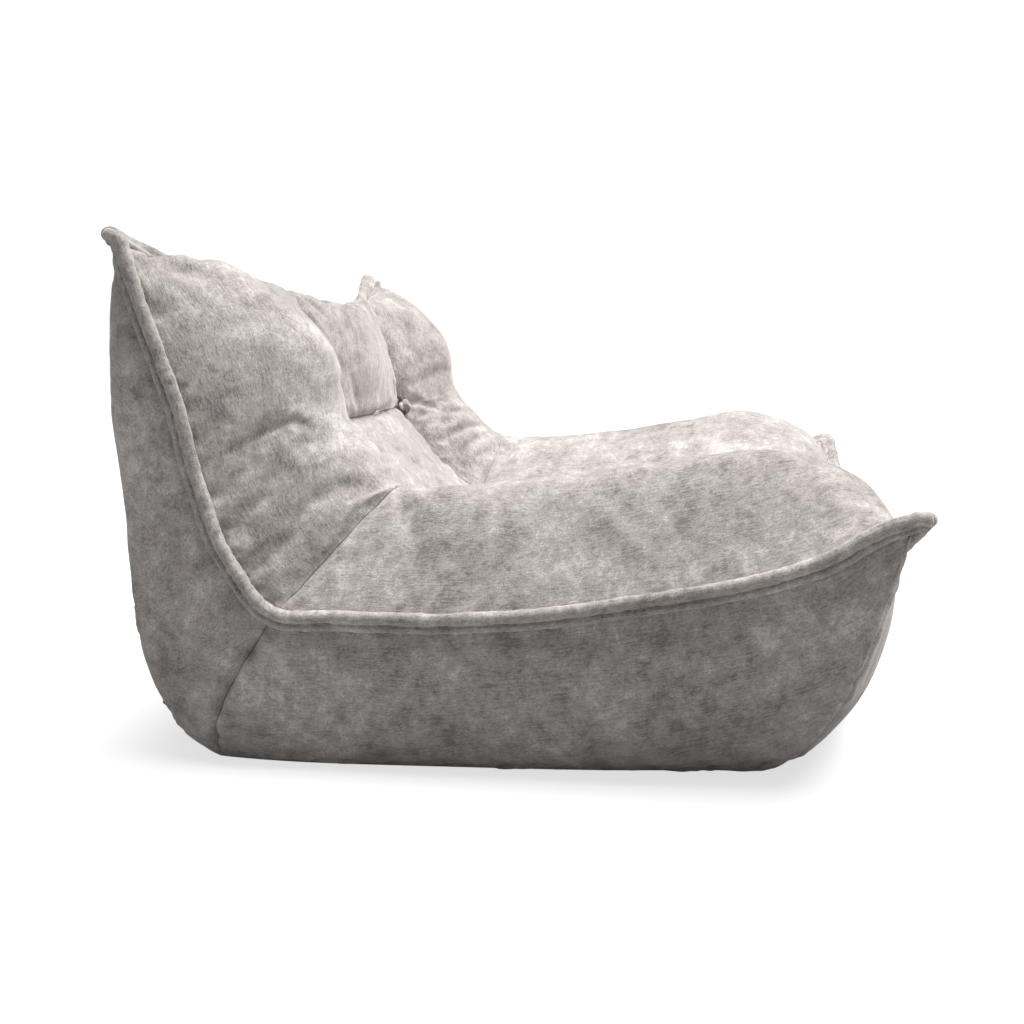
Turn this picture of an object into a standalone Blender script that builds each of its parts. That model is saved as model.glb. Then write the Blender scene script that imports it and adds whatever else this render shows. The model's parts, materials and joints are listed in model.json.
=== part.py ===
"""Bean bag lounge chair: a sewn cover of shaped panels over pads, a liner bag and a bead fill.

+X is the sitter's left, -Y the front, +Z up; metres. The origin is at the middle of the footprint.
"""
import math

import bmesh
import bpy
import numpy as np
from mathutils import Vector
from mathutils.bvhtree import BVHTree

# Overall form
SEAM_WIDTH = 1.08        # between the flange seams of the two sides
SEAM_DEPTH = 1.088       # from the rear bulge to the front flange seam
SEAM_HEIGHT = 0.716      # floor to the flange seam at the ears
REAR_BULGE = 0.00513     # share of the depth that the back swells behind its zero
FRONT_REACH = 0.986      # share of the depth at which the front of the flange seam lies

# Cloth
CLOTH = 0.0015           # thickness of a cover panel
TOUCH = 0.0003           # clearance between neighbours
SEAM_GAP = CLOTH + TOUCH          # from a panel's edge to its seam line, clear of the next at a corner
FLANGE_GAP = 2.5 * CLOTH + TOUCH  # from a panel's edge to the flange seam line

# Flange: a corded sleeve with a flat fold sewn under it
SLEEVE_RADIUS = 0.0088
SLEEVE_WALL = 0.0012
FOLD_RADIUS = 0.0048
SLEEVE_STAND = 0.0017    # from the seam line to the sleeve
SLEEVE_OUT = SLEEVE_RADIUS + SLEEVE_STAND   # sleeve centre, outward of the seam line
FOLD_SET_BACK = 0.0005   # of the fold's centre, from the sleeve's radius out of the seam line
FLANGE_END = 0.020       # left open at each corner
TOP_FLANGE = (0.0, 0.62, 0.78)   # the way the flange stands on the top edge

# Pads under the upper panels
PAD_EDGE = 0.004
PAD_THICKNESS = 0.015
PAD_CLEARANCE = 0.0103   # under the panel's inner face, beside one more thickness of cloth
PAD_SEAM_INSET = 0.007
PAD_FLANGE_INSET = 0.045

# Tufts
BUTTON_RADIUS = 0.010
BUTTON_HEIGHT = 0.006
TUFT_CORD_RADIUS = 0.0008
ANCHOR_RADIUS = 0.014
ANCHOR_THICKNESS = 0.002
ANCHOR_DEPTH = 0.0285    # of the anchor's outer face below the cover

# Liner bag and fill
LINER_DEPTH = 0.048      # below the cover's outer face
LINER_CLOTH = 0.001
LINER_BASE_GAP = 0.004
FILL_CLEARANCE = 0.002
PORT_STRIP = 0.0012      # thickness of the strip that closes the liner's fill port

# Cover zip, along X low on the back
ZIP_LENGTH = 0.50
ZIP_OPENING = 0.011      # from the zip's middle line to a panel's edge
TAPE_WIDTH = 0.016
TAPE_THICKNESS = 0.0008
TAPE_DEPTH = 0.0060      # of the tape's outer face below the cover's outer face
ROW_WIDTH = 0.0024
ROW_HEIGHT = 0.0022
ROW_GAP = 0.0006         # from the middle line to a row of teeth
SLIDER_LENGTH = 0.012
SLIDER_WIDTH = 0.011
SLIDER_PLATE = 0.0012
SLIDER_WEB = 0.0006
BAIL_POST = 0.0012
BAIL_CLEARANCE = 0.0004
PULL_LENGTH = 0.026
PULL_WIDTH = 0.007
PULL_THICKNESS = 0.0014
STOP_LENGTH = 0.003

# Across the chair: middle, tuft line, wing and bolster crest, outer crest, flange
ACROSS = (0.0, 0.37, 0.63, 0.78, 1.0)
# Rows from the top edge down the back, over the crook and along the seat to the front edge.
# Each row gives (depth, height) in percent of the form at the five places across.
UPPER_ROWS = (
    ((14.0, 86.4), (12.4, 88.7), (9.9, 91.0), (7.9, 93.6), (6.0, 98.8)),
    ((17.6, 89.8), (14.9, 91.6), (15.6, 93.8), (13.2, 96.0), (8.6, 84.5)),
    ((21.3, 76.0), (18.8, 77.5), (24.6, 80.5), (22.6, 81.5), (11.8, 71.0)),
    ((21.2, 63.0), (21.2, 63.5), (26.8, 66.0), (25.2, 66.0), (14.0, 56.0)),
    ((27.0, 52.0), (26.3, 52.0), (30.8, 57.5), (29.4, 58.0), (17.6, 41.0)),
    ((35.5, 39.7), (35.0, 41.0), (36.0, 50.5), (34.8, 52.0), (23.2, 31.0)),
    ((44.5, 39.5), (44.0, 42.0), (43.0, 50.5), (42.0, 52.0), (32.8, 30.5)),
    ((57.5, 41.3), (57.5, 44.3), (57.5, 52.8), (57.5, 54.2), (48.5, 31.0)),
    ((71.5, 44.3), (71.5, 47.2), (71.5, 56.2), (71.5, 57.5), (66.5, 34.8)),
    ((84.0, 47.0), (84.0, 49.0), (83.5, 58.0), (83.5, 59.4), (85.0, 41.2)),
    ((94.2, 45.5), (94.2, 46.8), (94.0, 53.8), (94.0, 55.0), (93.4, 48.0)),
    ((98.4, 36.5), (98.5, 38.0), (98.6, 42.0), (98.6, 45.0), (98.4, 51.0)),
)
LAST_ROW = len(UPPER_ROWS) - 1
SEAM_ROW = 3             # level seam across the back, where the tufts are
CROOK_ROW = 5            # seam between the back and the seat

# The lower shell hangs from the flange to the floor. At each place round the flange it is a curve
# through two guides; (depth, width, height) in percent for the guides, (depth, width) at the floor.
SIDE_GUIDES = (
    ((1.4, 100.0, 93.0), (1.2, 96, 15.0), (11.4, 75)),
    ((2.8, 101.5, 82.5), (0.9, 101, 14.0), (11.5, 81)),
    ((4.6, 102.5, 70.0), (-0.6, 103, 12.5), (11.8, 85)),
    ((7.2, 102.5, 54.0), (0.8, 104, 11.0), (12.3, 88)),
    ((11.6, 102, 37.0), (4.8, 104, 9.0), (12.8, 90)),
    ((20.2, 101.5, 24.0), (11.8, 104, 7.5), (14.4, 92)),
    ((30.5, 101, 21.0), (25.5, 104, 5.5), (25.5, 93)),
    ((47.0, 101, 20.5), (43.0, 104, 5.3), (43.0, 91)),
    ((66.0, 101, 23.0), (62.5, 103, 5.5), (62.0, 88)),
    ((84.5, 101, 28.5), (79.5, 102, 6.3), (76.5, 84)),
    ((95.0, 100.5, 35.0), (89.0, 101, 7.0), (81.0, 83.5)),
    ((95.6, 100, 38.0), (92.8, 98.5, 7.0), (83.4, 79)),
)
FRONT_GUIDES = (
    ((97.2, 82, 36.5), (96.4, 86, 7.0), (85.4, 74)),
    ((100.0, 67, 33.5), (97.8, 71, 7.0), (88.0, 62)),
    ((101.0, 39, 30.0), (99.8, 41, 6.3), (92.6, 36)),
    ((101.2, 0, 28.5), (100.0, 0, 6.3), (93.4, 0)),
)
REAR_GUIDES = (
    ((-1.4, 80, 86.0), (-5.3, 78, 12.5), (10.6, 61)),
    ((-2.8, 64, 82.5), (-5.1, 63, 11.3), (10.5, 48)),
    ((-3.1, 37, 79.0), (-5.1, 37, 11.3), (10.5, 28)),
    ((-3.1, 0, 76.5), (-5.1, 0, 11.3), (10.5, 0)),
)
REAR_HEM = 0.88          # where the base panel's edge runs round the back, along those curves
SIDE_HEM = 0.965         # and along the sides and the front

UP = Vector((0.0, 0.0, 1.0))


def metres(depth, width, height):
    """A point in metres from its place on the form in percent."""
    middle = (SEAM_DEPTH * (FRONT_REACH - REAR_BULGE) + SLEEVE_OUT + SLEEVE_RADIUS) / 2
    return np.array((width / 100 * SEAM_WIDTH / 2, middle - depth / 100 * SEAM_DEPTH,
                     height / 100 * SEAM_HEIGHT))


def spline(knots, points, at, closed=False):
    """A smooth curve through points at the given knots."""
    count = len(points)
    if closed:
        k = int(math.floor(at)) % count
        local, span = at - math.floor(at), 1.0
        a, b, c, d = (points[(k + j) % count] for j in (-1, 0, 1, 2))
        slope_b, slope_c = (c - a) / 2, (d - b) / 2
    else:
        k = min(max(int(np.searchsorted(knots, at)) - 1, 0), count - 2)
        span = knots[k + 1] - knots[k]
        local = (at - knots[k]) / span
        b, c = points[k], points[k + 1]
        slope_b = (c - b) / span if k == 0 else (c - points[k - 1]) / (knots[k + 1] - knots[k - 1])
        last = k == count - 2
        slope_c = (c - b) / span if last else (points[k + 2] - b) / (knots[k + 2] - knots[k])
    q, r = local * local, local ** 3
    return ((2 * r - 3 * q + 1) * b + (r - 2 * q + local) * span * slope_b
            + (3 * q - 2 * r) * c + (r - q) * span * slope_c)


def upper_stations():
    """For each place across, right flange to left flange, its points from top edge to front edge."""
    half = []
    for place, across in enumerate(ACROSS):
        half.append([metres(row[place][0], across * 100, row[place][1]) for row in UPPER_ROWS])
    flip = np.array((-1, 1, 1))
    mirrored = [[p * flip for p in line] for line in half[:0:-1]]
    return mirrored + half


STATIONS = upper_stations()
STATION_PLACES = [-a for a in ACROSS[:0:-1]] + list(ACROSS)
ROW_NUMBERS = list(range(len(UPPER_ROWS)))


def upper(across, row):
    """A point of the upper surface; across runs from -1 (right) to 1 (left)."""
    line = [spline(ROW_NUMBERS, points, row) for points in STATIONS]
    return spline(STATION_PLACES, line, across)


# Round the flange: left side 0 to 11, front 11 to 19, right side 19 to 30, top edge 30 to 38
END_PLACES = (1.0, 0.78, 0.63, 0.37, 0.0, -0.37, -0.63, -0.78, -1.0)
END_STEPS = len(END_PLACES) - 1
FRONT_START = LAST_ROW
RIGHT_START = FRONT_START + END_STEPS
TOP_START = RIGHT_START + LAST_ROW
AROUND = TOP_START + END_STEPS


def loop_guides():
    """The guide points and floor points round the whole flange."""
    def side(guides, sign):
        first, second, floor = guides
        return (metres(first[0], sign * first[1], first[2]),
                metres(second[0], sign * second[1], second[2]),
                metres(floor[0], sign * floor[1], 0))

    front = [side(g, 1) for g in FRONT_GUIDES] + [side(g, -1) for g in FRONT_GUIDES[2::-1]]
    rear = [side(g, -1) for g in REAR_GUIDES] + [side(g, 1) for g in REAR_GUIDES[2::-1]]
    left = [side(g, 1) for g in SIDE_GUIDES]
    right = [side(g, -1) for g in SIDE_GUIDES[::-1]]
    ring = left + front + right + rear
    return [[place[k] for place in ring] for k in range(3)]


GUIDES = loop_guides()


def flange_place(around):
    """(across, row) on the upper surface at a place round the flange."""
    around %= AROUND
    if around <= FRONT_START:
        return 1.0, around
    if around <= RIGHT_START:
        return float(np.interp(around - FRONT_START, range(END_STEPS + 1), END_PLACES)), LAST_ROW
    if around <= TOP_START:
        return -1.0, TOP_START - around
    return -float(np.interp(around - TOP_START, range(END_STEPS + 1), END_PLACES)), 0.0


def flange_point(around):
    return upper(*flange_place(around))


def lower(around, down):
    """A point of the lower shell; down runs from 0 at the flange to 1 at the floor."""
    first, second, floor = (spline(None, ring, around, closed=True) for ring in GUIDES)
    rest = 1 - down
    return (rest ** 3 * flange_point(around) + 3 * rest * rest * down * first
            + 3 * rest * down * down * second + down ** 3 * floor)


def around_of_end(across, front):
    """The place round the flange of a place across the front or the top edge."""
    steps = float(np.interp(-across, [-p for p in END_PLACES], range(END_STEPS + 1)))
    return FRONT_START + steps if front else AROUND - steps


REAR_MIDDLE = (TOP_START + AROUND) / 2
REAR_SPAN = CROOK_ROW + END_STEPS / 2


def hem(around):
    """How far down the base panel's edge runs at a place round the flange."""
    half = AROUND / 2
    from_rear = abs((around - REAR_MIDDLE + half) % AROUND - half)
    share = min(max(from_rear - REAR_SPAN, 0.0), 1.0)
    return REAR_HEM + (SIDE_HEM - REAR_HEM) * share


# Mesh making

def clear_scene():
    for obj in list(bpy.data.objects):
        bpy.data.objects.remove(obj, do_unlink=True)


def material(name, colour, roughness, metallic=0.0):
    mat = bpy.data.materials.new(name)
    mat.use_nodes = True
    shader = mat.node_tree.nodes["Principled BSDF"]
    shader.inputs["Base Color"].default_value = (*colour, 1.0)
    shader.inputs["Roughness"].default_value = roughness
    shader.inputs["Metallic"].default_value = metallic
    return mat


def add_object(name, verts, faces, mat, smooth=True):
    """An object with this mesh, its faces turned to agree."""
    mesh = bpy.data.meshes.new(name)
    mesh.from_pydata([tuple(v) for v in verts], [], faces)
    bm = bmesh.new()
    bm.from_mesh(mesh)
    bmesh.ops.remove_doubles(bm, verts=bm.verts, dist=1e-6)
    bmesh.ops.recalc_face_normals(bm, faces=bm.faces)
    bm.to_mesh(mesh)
    bm.free()
    if smooth:
        mesh.shade_smooth()
        mesh.set_sharp_from_angle(angle=math.radians(40))
    mesh.materials.append(mat)
    obj = bpy.data.objects.new(name, mesh)
    bpy.context.scene.collection.objects.link(obj)
    return obj


def half_steps(start, end):
    return [start + k / 2 for k in range(int(round((end - start) * 2)) + 1)]


def places_across(start, end):
    """The places across the chair between two stations, with one more between each pair."""
    first, last = STATION_PLACES.index(start), STATION_PLACES.index(end)
    steps = half_steps(first, last)
    return [float(np.interp(k, range(len(STATION_PLACES)), STATION_PLACES)) for k in steps]


def grid(surface, rows, columns):
    return np.array([[surface(a, b) for b in columns] for a in rows])


def pull_in(points, gaps):
    """Moves a grid's four edges (first row, last row, first column, last column) inwards."""
    first, last, left, right = gaps
    points = points.copy()
    edges = ((points, first, False), (points, last, True))
    turned = points.transpose(1, 0, 2)
    edges += ((turned, left, False), (turned, right, True))
    for lines, gap, from_end in edges:
        edge, inner = (-1, -2) if from_end else (0, 1)
        step = lines[inner] - lines[edge]
        length = np.linalg.norm(step, axis=1, keepdims=True)
        lines[edge] += step / length * np.reshape(gap, (-1, 1))
    return points


def grid_faces(rows, columns, start=0, flip=False):
    faces = []
    for i in range(rows - 1):
        for j in range(columns - 1):
            a = start + i * columns + j
            face = (a, a + 1, a + columns + 1, a + columns)
            faces.append(face[::-1] if flip else face)
    return faces


def facing_out(points):
    """Whether a grid's face normals, in grid_faces order, point away from the inside."""
    middle = points.reshape(-1, 3).mean(axis=0)
    core = metres(26, 0, 20)
    normals = grid_normals(points).reshape(-1, 3).sum(axis=0)
    return normals.dot(middle - core) > 0


def grid_normals(points):
    along = np.gradient(points, axis=0)
    over = np.gradient(points, axis=1)
    normals = np.cross(over, along)
    return normals / np.linalg.norm(normals, axis=2, keepdims=True)


def thicken(obj, thickness):
    """Gives an open sheet its thickness, on its inner side."""
    mod = obj.modifiers.new("cloth", "SOLIDIFY")
    mod.thickness = thickness
    mod.offset = -1.0
    mod.use_quality_normals = True


def panel(name, points, mat):
    """A cloth panel over a grid of points of its outer face."""
    rows, columns = points.shape[:2]
    faces = grid_faces(rows, columns, flip=not facing_out(points))
    mesh = bpy.data.meshes.new(name)
    mesh.from_pydata([tuple(p) for p in points.reshape(-1, 3)], [], faces)
    mesh.shade_smooth()
    mesh.materials.append(mat)
    obj = bpy.data.objects.new(name, mesh)
    bpy.context.scene.collection.objects.link(obj)
    thicken(obj, CLOTH)
    return obj


def closed_grid(name, outer, inner, mat):
    """A solid between two grids of points that match."""
    rows, columns = outer.shape[:2]
    count = rows * columns
    verts = np.concatenate([outer.reshape(-1, 3), inner.reshape(-1, 3)])
    faces = grid_faces(rows, columns) + grid_faces(rows, columns, start=count, flip=True)
    rim = [j for j in range(columns)]
    rim += [i * columns + columns - 1 for i in range(1, rows)]
    rim += [(rows - 1) * columns + j for j in range(columns - 2, -1, -1)]
    rim += [i * columns for i in range(rows - 2, 0, -1)]
    for a, b in zip(rim, rim[1:] + rim[:1]):
        faces.append((a, b, b + count, a + count))
    return add_object(name, verts, faces, mat)


def trim(lines, start, end, count):
    """Each line of points again with count even steps, start and end cut from its length."""
    result = []
    for line in lines:
        run = np.concatenate([[0], np.cumsum(np.linalg.norm(np.diff(line, axis=0), axis=1))])
        at = np.linspace(start, run[-1] - end, count)
        result.append(np.stack([np.interp(at, run, line[:, k]) for k in range(3)], axis=1))
    return np.array(result)


def pad(name, points, gaps, counts, mat):
    """A pad that lies under a panel and thins out towards its edges."""
    top, bottom, left, right = gaps
    points = trim(points, left, right, counts[1])
    points = trim(points.transpose(1, 0, 2), top, bottom, counts[0]).transpose(1, 0, 2)
    normals = grid_normals(points) * (1 if facing_out(points) else -1)
    rise = [np.sin(np.linspace(0, math.pi, n)) ** 0.5 for n in counts]
    body = PAD_EDGE + (PAD_THICKNESS - PAD_EDGE) * rise[0][:, None] * rise[1][None, :]
    skin = 2 * CLOTH + PAD_CLEARANCE
    return closed_grid(name, points - normals * skin,
                       points - normals * (skin + body[:, :, None]), mat)


# Cover

def upper_panels(mat):
    tuft = ACROSS[1]
    seam, flange = SEAM_GAP, FLANGE_GAP
    back, level, crook = half_steps(0, SEAM_ROW), half_steps(SEAM_ROW, CROOK_ROW), CROOK_ROW
    middle = places_across(-tuft, tuft)
    panel("pillow_panel", pull_in(grid(upper, middle, back), (seam, seam, flange, seam)), mat)
    panel("lumbar_panel", pull_in(grid(upper, middle, level), (seam, seam, seam, seam)), mat)
    whole = half_steps(0, crook)
    panel("wing_panel_left",
          pull_in(grid(upper, places_across(tuft, 1.0), whole), (seam, flange, flange, seam)), mat)
    panel("wing_panel_right",
          pull_in(grid(upper, places_across(-1.0, -tuft), whole), (flange, seam, flange, seam)), mat)
    seat = grid(upper, places_across(-1.0, 1.0), half_steps(crook, LAST_ROW))
    panel("seat_panel", pull_in(seat, (flange, flange, seam, flange)), mat)


# Rings of points down the shell, as shares of the way to the hem, closer together near it
RINGS = (0.0, 0.17, 0.36, 0.56, 0.75, 0.89, 0.965, 1.0)


def lower_grid(start, end):
    """The shell between two places round the flange, from the flange to the hem."""
    return np.array([[lower(around, hem(around) * share) for share in RINGS]
                     for around in half_steps(start, end)])


def zip_gap(points):
    """From the zip's middle line to a panel's edge, for points along the hem."""
    reach = ZIP_LENGTH / 2 + 2 * STOP_LENGTH
    off = np.abs(points[:, 0])
    return np.interp(off, (reach, reach + 3 * ZIP_OPENING), (ZIP_OPENING, SEAM_GAP))


def lower_panels(mat, base_mat):
    seam, flange = SEAM_GAP, FLANGE_GAP
    right_crook = TOP_START - CROOK_ROW
    rear = lower_grid(right_crook, AROUND + CROOK_ROW)
    panel("rear_shell_panel", pull_in(rear, (seam, seam, flange, zip_gap(rear[:, -1]))), mat)
    for name, start, end in (("side_panel_left", CROOK_ROW, FRONT_START),
                             ("side_panel_right", RIGHT_START, right_crook),
                             ("front_panel", FRONT_START, RIGHT_START)):
        panel(name, pull_in(lower_grid(start, end), (seam, seam, flange, seam)), mat)
    base_panel(base_mat)


def base_panel(mat):
    """The base: its rolled-up rim in three steps, and one flat face on the floor."""
    rim = []
    for around in half_steps(0, AROUND)[:-1]:
        edge = hem(around)
        rim.append([lower(around, edge + (1 - edge) * k / 3) for k in range(4)])
    rim = np.array(rim)
    rim = pull_in(rim, (0, 0, zip_gap(rim[:, 0]) * is_rear() + SEAM_GAP * (1 - is_rear()), 0))
    verts = rim.reshape(-1, 3)
    count, width = rim.shape[:2]
    faces = []
    for i in range(count):
        a, b = i * width, (i + 1) % count * width
        faces += [(a + k, b + k, b + k + 1, a + k + 1) for k in range(width - 1)]
    faces.append(tuple(i * width + width - 1 for i in range(count)))
    obj = add_object("base_panel", verts, faces, mat, smooth=False)
    thicken(obj, CLOTH)


def is_rear():
    """1 for the places round the hem that the zip opening may reach, else 0."""
    places = np.array(half_steps(0, AROUND)[:-1])
    return ((places > TOP_START) & (places < AROUND)).astype(float)


# Flange

def flange_frame(around, out):
    """At a place on the flange seam: the point, the way out of the body and the way up."""
    across, row = flange_place(around)
    point = upper(across, row)
    above = upper(across * 0.96, row + (0.2 if row < 1 else -0.2)) - point
    below = lower(around, 0.05) - point
    along = flange_point(around + 0.05) - flange_point(around - 0.05)
    along /= np.linalg.norm(along)
    out = out - along * out.dot(along)
    out /= np.linalg.norm(out)
    up = np.cross(along, out)
    up *= np.sign(up.dot(above - below))
    return point, out, up


def ring_of(centre, out, up, radius, sides):
    turns = [2 * math.pi * k / sides for k in range(sides)]
    return [centre + radius * (math.cos(a) * out + math.sin(a) * up) for a in turns]


def run_of_rings(frames, radius, sides, reach, rise):
    """Rings of points round a line beside the flange seam, its ends held off the corners."""
    centres = np.array([p + o * reach + u * rise for p, o, u in frames])
    for end, inner in ((0, 1), (-1, -2)):
        step = centres[inner] - centres[end]
        centres[end] += step / np.linalg.norm(step) * FLANGE_END
    return [ring_of(c, o, u, radius, sides) for c, (_, o, u) in zip(centres, frames)]


def tube_faces(count, sides, start=0):
    faces = []
    for i in range(count - 1):
        for k in range(sides):
            a, b = start + i * sides + k, start + i * sides + (k + 1) % sides
            faces.append((a, b, b + sides, a + sides))
    return faces


def rod(name, rings, mat):
    sides = len(rings[0])
    verts = [p for ring in rings for p in ring]
    faces = tube_faces(len(rings), sides)
    faces += [tuple(range(sides)), tuple(len(verts) - 1 - k for k in range(sides))]
    return add_object(name, verts, faces, mat)


def open_sleeve(name, outer, inner, mat):
    sides = len(outer[0])
    verts = [p for ring in outer + inner for p in ring]
    count = len(outer)
    shift = count * sides
    faces = tube_faces(count, sides) + tube_faces(count, sides, start=shift)
    for base in (0, (count - 1) * sides):
        for k in range(sides):
            a, b = base + k, base + (k + 1) % sides
            faces.append((a, b, b + shift, a + shift))
    return add_object(name, verts, faces, mat)


def flange(mat, fold_mat, cord_mat):
    """Sleeve, filler cord and under-fold along each of the four sides."""
    stretches = (("left", 0, FRONT_START, (1, 0, 0)), ("front", FRONT_START, RIGHT_START, (0, -1, 0)),
                 ("right", RIGHT_START, TOP_START, (-1, 0, 0)), ("top", TOP_START, AROUND, TOP_FLANGE))
    rise = SLEEVE_RADIUS / 2
    drop = SLEEVE_RADIUS + FOLD_RADIUS + TOUCH - rise
    reach_of_fold = SLEEVE_RADIUS - FOLD_SET_BACK
    inner_radius = SLEEVE_RADIUS - SLEEVE_WALL
    # a six-sided cord's corners stay inside the eight-sided sleeve's flats
    cord_radius = inner_radius * math.cos(math.pi / 8) - TOUCH
    for side, start, end, out in stretches:
        frames = [flange_frame(a, np.array(out)) for a in half_steps(start, end)]
        frames[0] = corner_frame(frames[0], frames[1])
        frames[-1] = corner_frame(frames[-1], frames[-2])
        outer = run_of_rings(frames, SLEEVE_RADIUS, 8, SLEEVE_OUT, rise)
        inner = run_of_rings(frames, inner_radius, 8, SLEEVE_OUT, rise)
        open_sleeve(f"flange_sleeve_{side}", outer, inner, mat)
        rod(f"flange_cord_{side}", run_of_rings(frames, cord_radius, 6, SLEEVE_OUT, rise), cord_mat)
        rod(f"flange_fold_{side}",
            run_of_rings(frames, FOLD_RADIUS, 6, reach_of_fold, -drop), fold_mat)


def corner_frame(frame, neighbour):
    """The frame at a corner, turned as its neighbour on the same side is."""
    return frame[0], neighbour[1], neighbour[2]


# Tufts

def turned_solid(name, profile, sides, mat):
    """A solid of revolution about Z; the profile's (radius, height) points start and end on Z."""
    verts, rings = [], []
    for radius, height in profile:
        if radius == 0:
            rings.append([len(verts)])
            verts.append((0, 0, height))
            continue
        rings.append(list(range(len(verts), len(verts) + sides)))
        turns = [2 * math.pi * k / sides for k in range(sides)]
        verts += [(radius * math.cos(a), radius * math.sin(a), height) for a in turns]
    faces = []
    for low, high in zip(rings, rings[1:]):
        for k in range(sides):
            face = (low[k % len(low)], low[(k + 1) % len(low)],
                    high[(k + 1) % len(high)], high[k % len(high)])
            faces.append(tuple(dict.fromkeys(face)))
    return add_object(name, verts, faces, mat)


def tuft(side, sign, button_mat, cord_mat, anchor_mat):
    """A covered button, the cord that pulls it in, and the disc that holds the cord inside."""
    place = (sign * ACROSS[1], SEAM_ROW)
    point = upper(*place)
    normal = np.cross(upper(place[0] + 0.05, place[1]) - point, upper(place[0], place[1] + 0.2) - point)
    normal /= np.linalg.norm(normal)
    if normal[1] > 0:
        normal = -normal
    holder = bpy.data.objects.new(f"tuft_{side}", None)
    holder.location = point
    holder.rotation_euler = UP.rotation_difference(Vector(normal)).to_euler()
    bpy.context.scene.collection.objects.link(holder)
    stand = BUTTON_RADIUS / 3
    dome = [(0, stand), (BUTTON_RADIUS * 0.8, stand), (BUTTON_RADIUS, stand + BUTTON_HEIGHT * 0.35),
            (BUTTON_RADIUS * 0.7, stand + BUTTON_HEIGHT * 0.8), (0, stand + BUTTON_HEIGHT)]
    low = -ANCHOR_DEPTH + TOUCH
    cord = [(0, low), (TUFT_CORD_RADIUS, low), (TUFT_CORD_RADIUS, stand - TOUCH), (0, stand - TOUCH)]
    disc = [(0, -ANCHOR_DEPTH - ANCHOR_THICKNESS), (ANCHOR_RADIUS, -ANCHOR_DEPTH - ANCHOR_THICKNESS),
            (ANCHOR_RADIUS, -ANCHOR_DEPTH), (0, -ANCHOR_DEPTH)]
    pieces = (turned_solid(f"tuft_button_{side}", dome, 16, button_mat),
              turned_solid(f"tuft_cord_{side}", cord, 8, cord_mat),
              turned_solid(f"tuft_anchor_{side}", disc, 16, anchor_mat))
    for piece in pieces:
        piece.parent = holder


# Pads, liner and fill

def pads(mat):
    seam, flange_side = PAD_SEAM_INSET, PAD_FLANGE_INSET
    tuft_line = ACROSS[1]
    fine = 25

    def area(left, right, top, bottom):
        rows = np.linspace(top, bottom, fine)
        return grid(lambda row, across: upper(across, row), rows, np.linspace(left, right, fine))

    pad("pillow_pad", area(-tuft_line, tuft_line, 0, SEAM_ROW),
        (flange_side, seam, seam, seam), (7, 7), mat)
    pad("lumbar_pad", area(-tuft_line, tuft_line, SEAM_ROW, CROOK_ROW),
        (seam, seam, seam, seam), (5, 7), mat)
    pad("wing_pad_left", area(tuft_line, 1.0, 0, CROOK_ROW),
        (flange_side, seam, seam, flange_side), (9, 7), mat)
    pad("wing_pad_right", area(-1.0, -tuft_line, 0, CROOK_ROW),
        (flange_side, seam, flange_side, seam), (9, 7), mat)
    pad("seat_pad", area(-1.0, 1.0, CROOK_ROW, LAST_ROW),
        (seam, flange_side, flange_side, flange_side), (11, 15), mat)


LINER_RINGS = (0.0, 0.2, 0.42, 0.65, 0.85, 1.0)


def body_bmesh():
    """The whole cover's outer surface as one coarse closed mesh, with its flat base."""
    bm = bmesh.new()

    def add_grid(points):
        rows, columns = points.shape[:2]
        made = [bm.verts.new(p) for p in points.reshape(-1, 3)]
        for face in grid_faces(rows, columns):
            bm.faces.new([made[k] for k in face])
        return made

    add_grid(grid(upper, STATION_PLACES, range(LAST_ROW + 1)))
    rows = np.array([[lower(a, share) for share in LINER_RINGS] for a in range(AROUND + 1)])
    add_grid(rows)
    floor = rows[:-1, -1]
    middle = floor.mean(axis=0)
    rim = np.array([[p + (middle - p) * share for share in (0, 0.5)] for p in floor])
    add_grid(np.concatenate([rim, rim[:1]]))
    bm.faces.new([bm.verts.new(p) for p in rim[:, -1]])
    bmesh.ops.remove_doubles(bm, verts=bm.verts, dist=1e-4)
    bmesh.ops.recalc_face_normals(bm, faces=bm.faces)
    return bm


def relax_inside(bm, depth, floor_gap):
    """Rounds a body off and holds it a given depth below where it was, standing on the base."""
    cover = BVHTree.FromBMesh(bm)
    on_floor = [v for v in bm.verts if v.co.z < 1e-5]
    passes = 24
    for turn in range(passes):
        bmesh.ops.smooth_vert(bm, verts=bm.verts, factor=0.5 if turn < passes // 2 else 0.25,
                              use_axis_x=True, use_axis_y=True, use_axis_z=True)
        for vert in bm.verts:
            vert.co.z = max(vert.co.z, floor_gap)
            spot, normal, _, gap = cover.find_nearest(vert.co)
            side = (vert.co - spot).dot(normal)
            under = gap if side < 0 else -gap
            if under < depth and normal.z > -0.95:
                vert.co -= normal * (depth - under)
        for vert in on_floor:
            vert.co.z = floor_gap
    bm.normal_update()


def mesh_object(name, bm, mat):
    mesh = bpy.data.meshes.new(name)
    bm.to_mesh(mesh)
    mesh.shade_smooth()
    mesh.materials.append(mat)
    obj = bpy.data.objects.new(name, mesh)
    bpy.context.scene.collection.objects.link(obj)
    return obj


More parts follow.
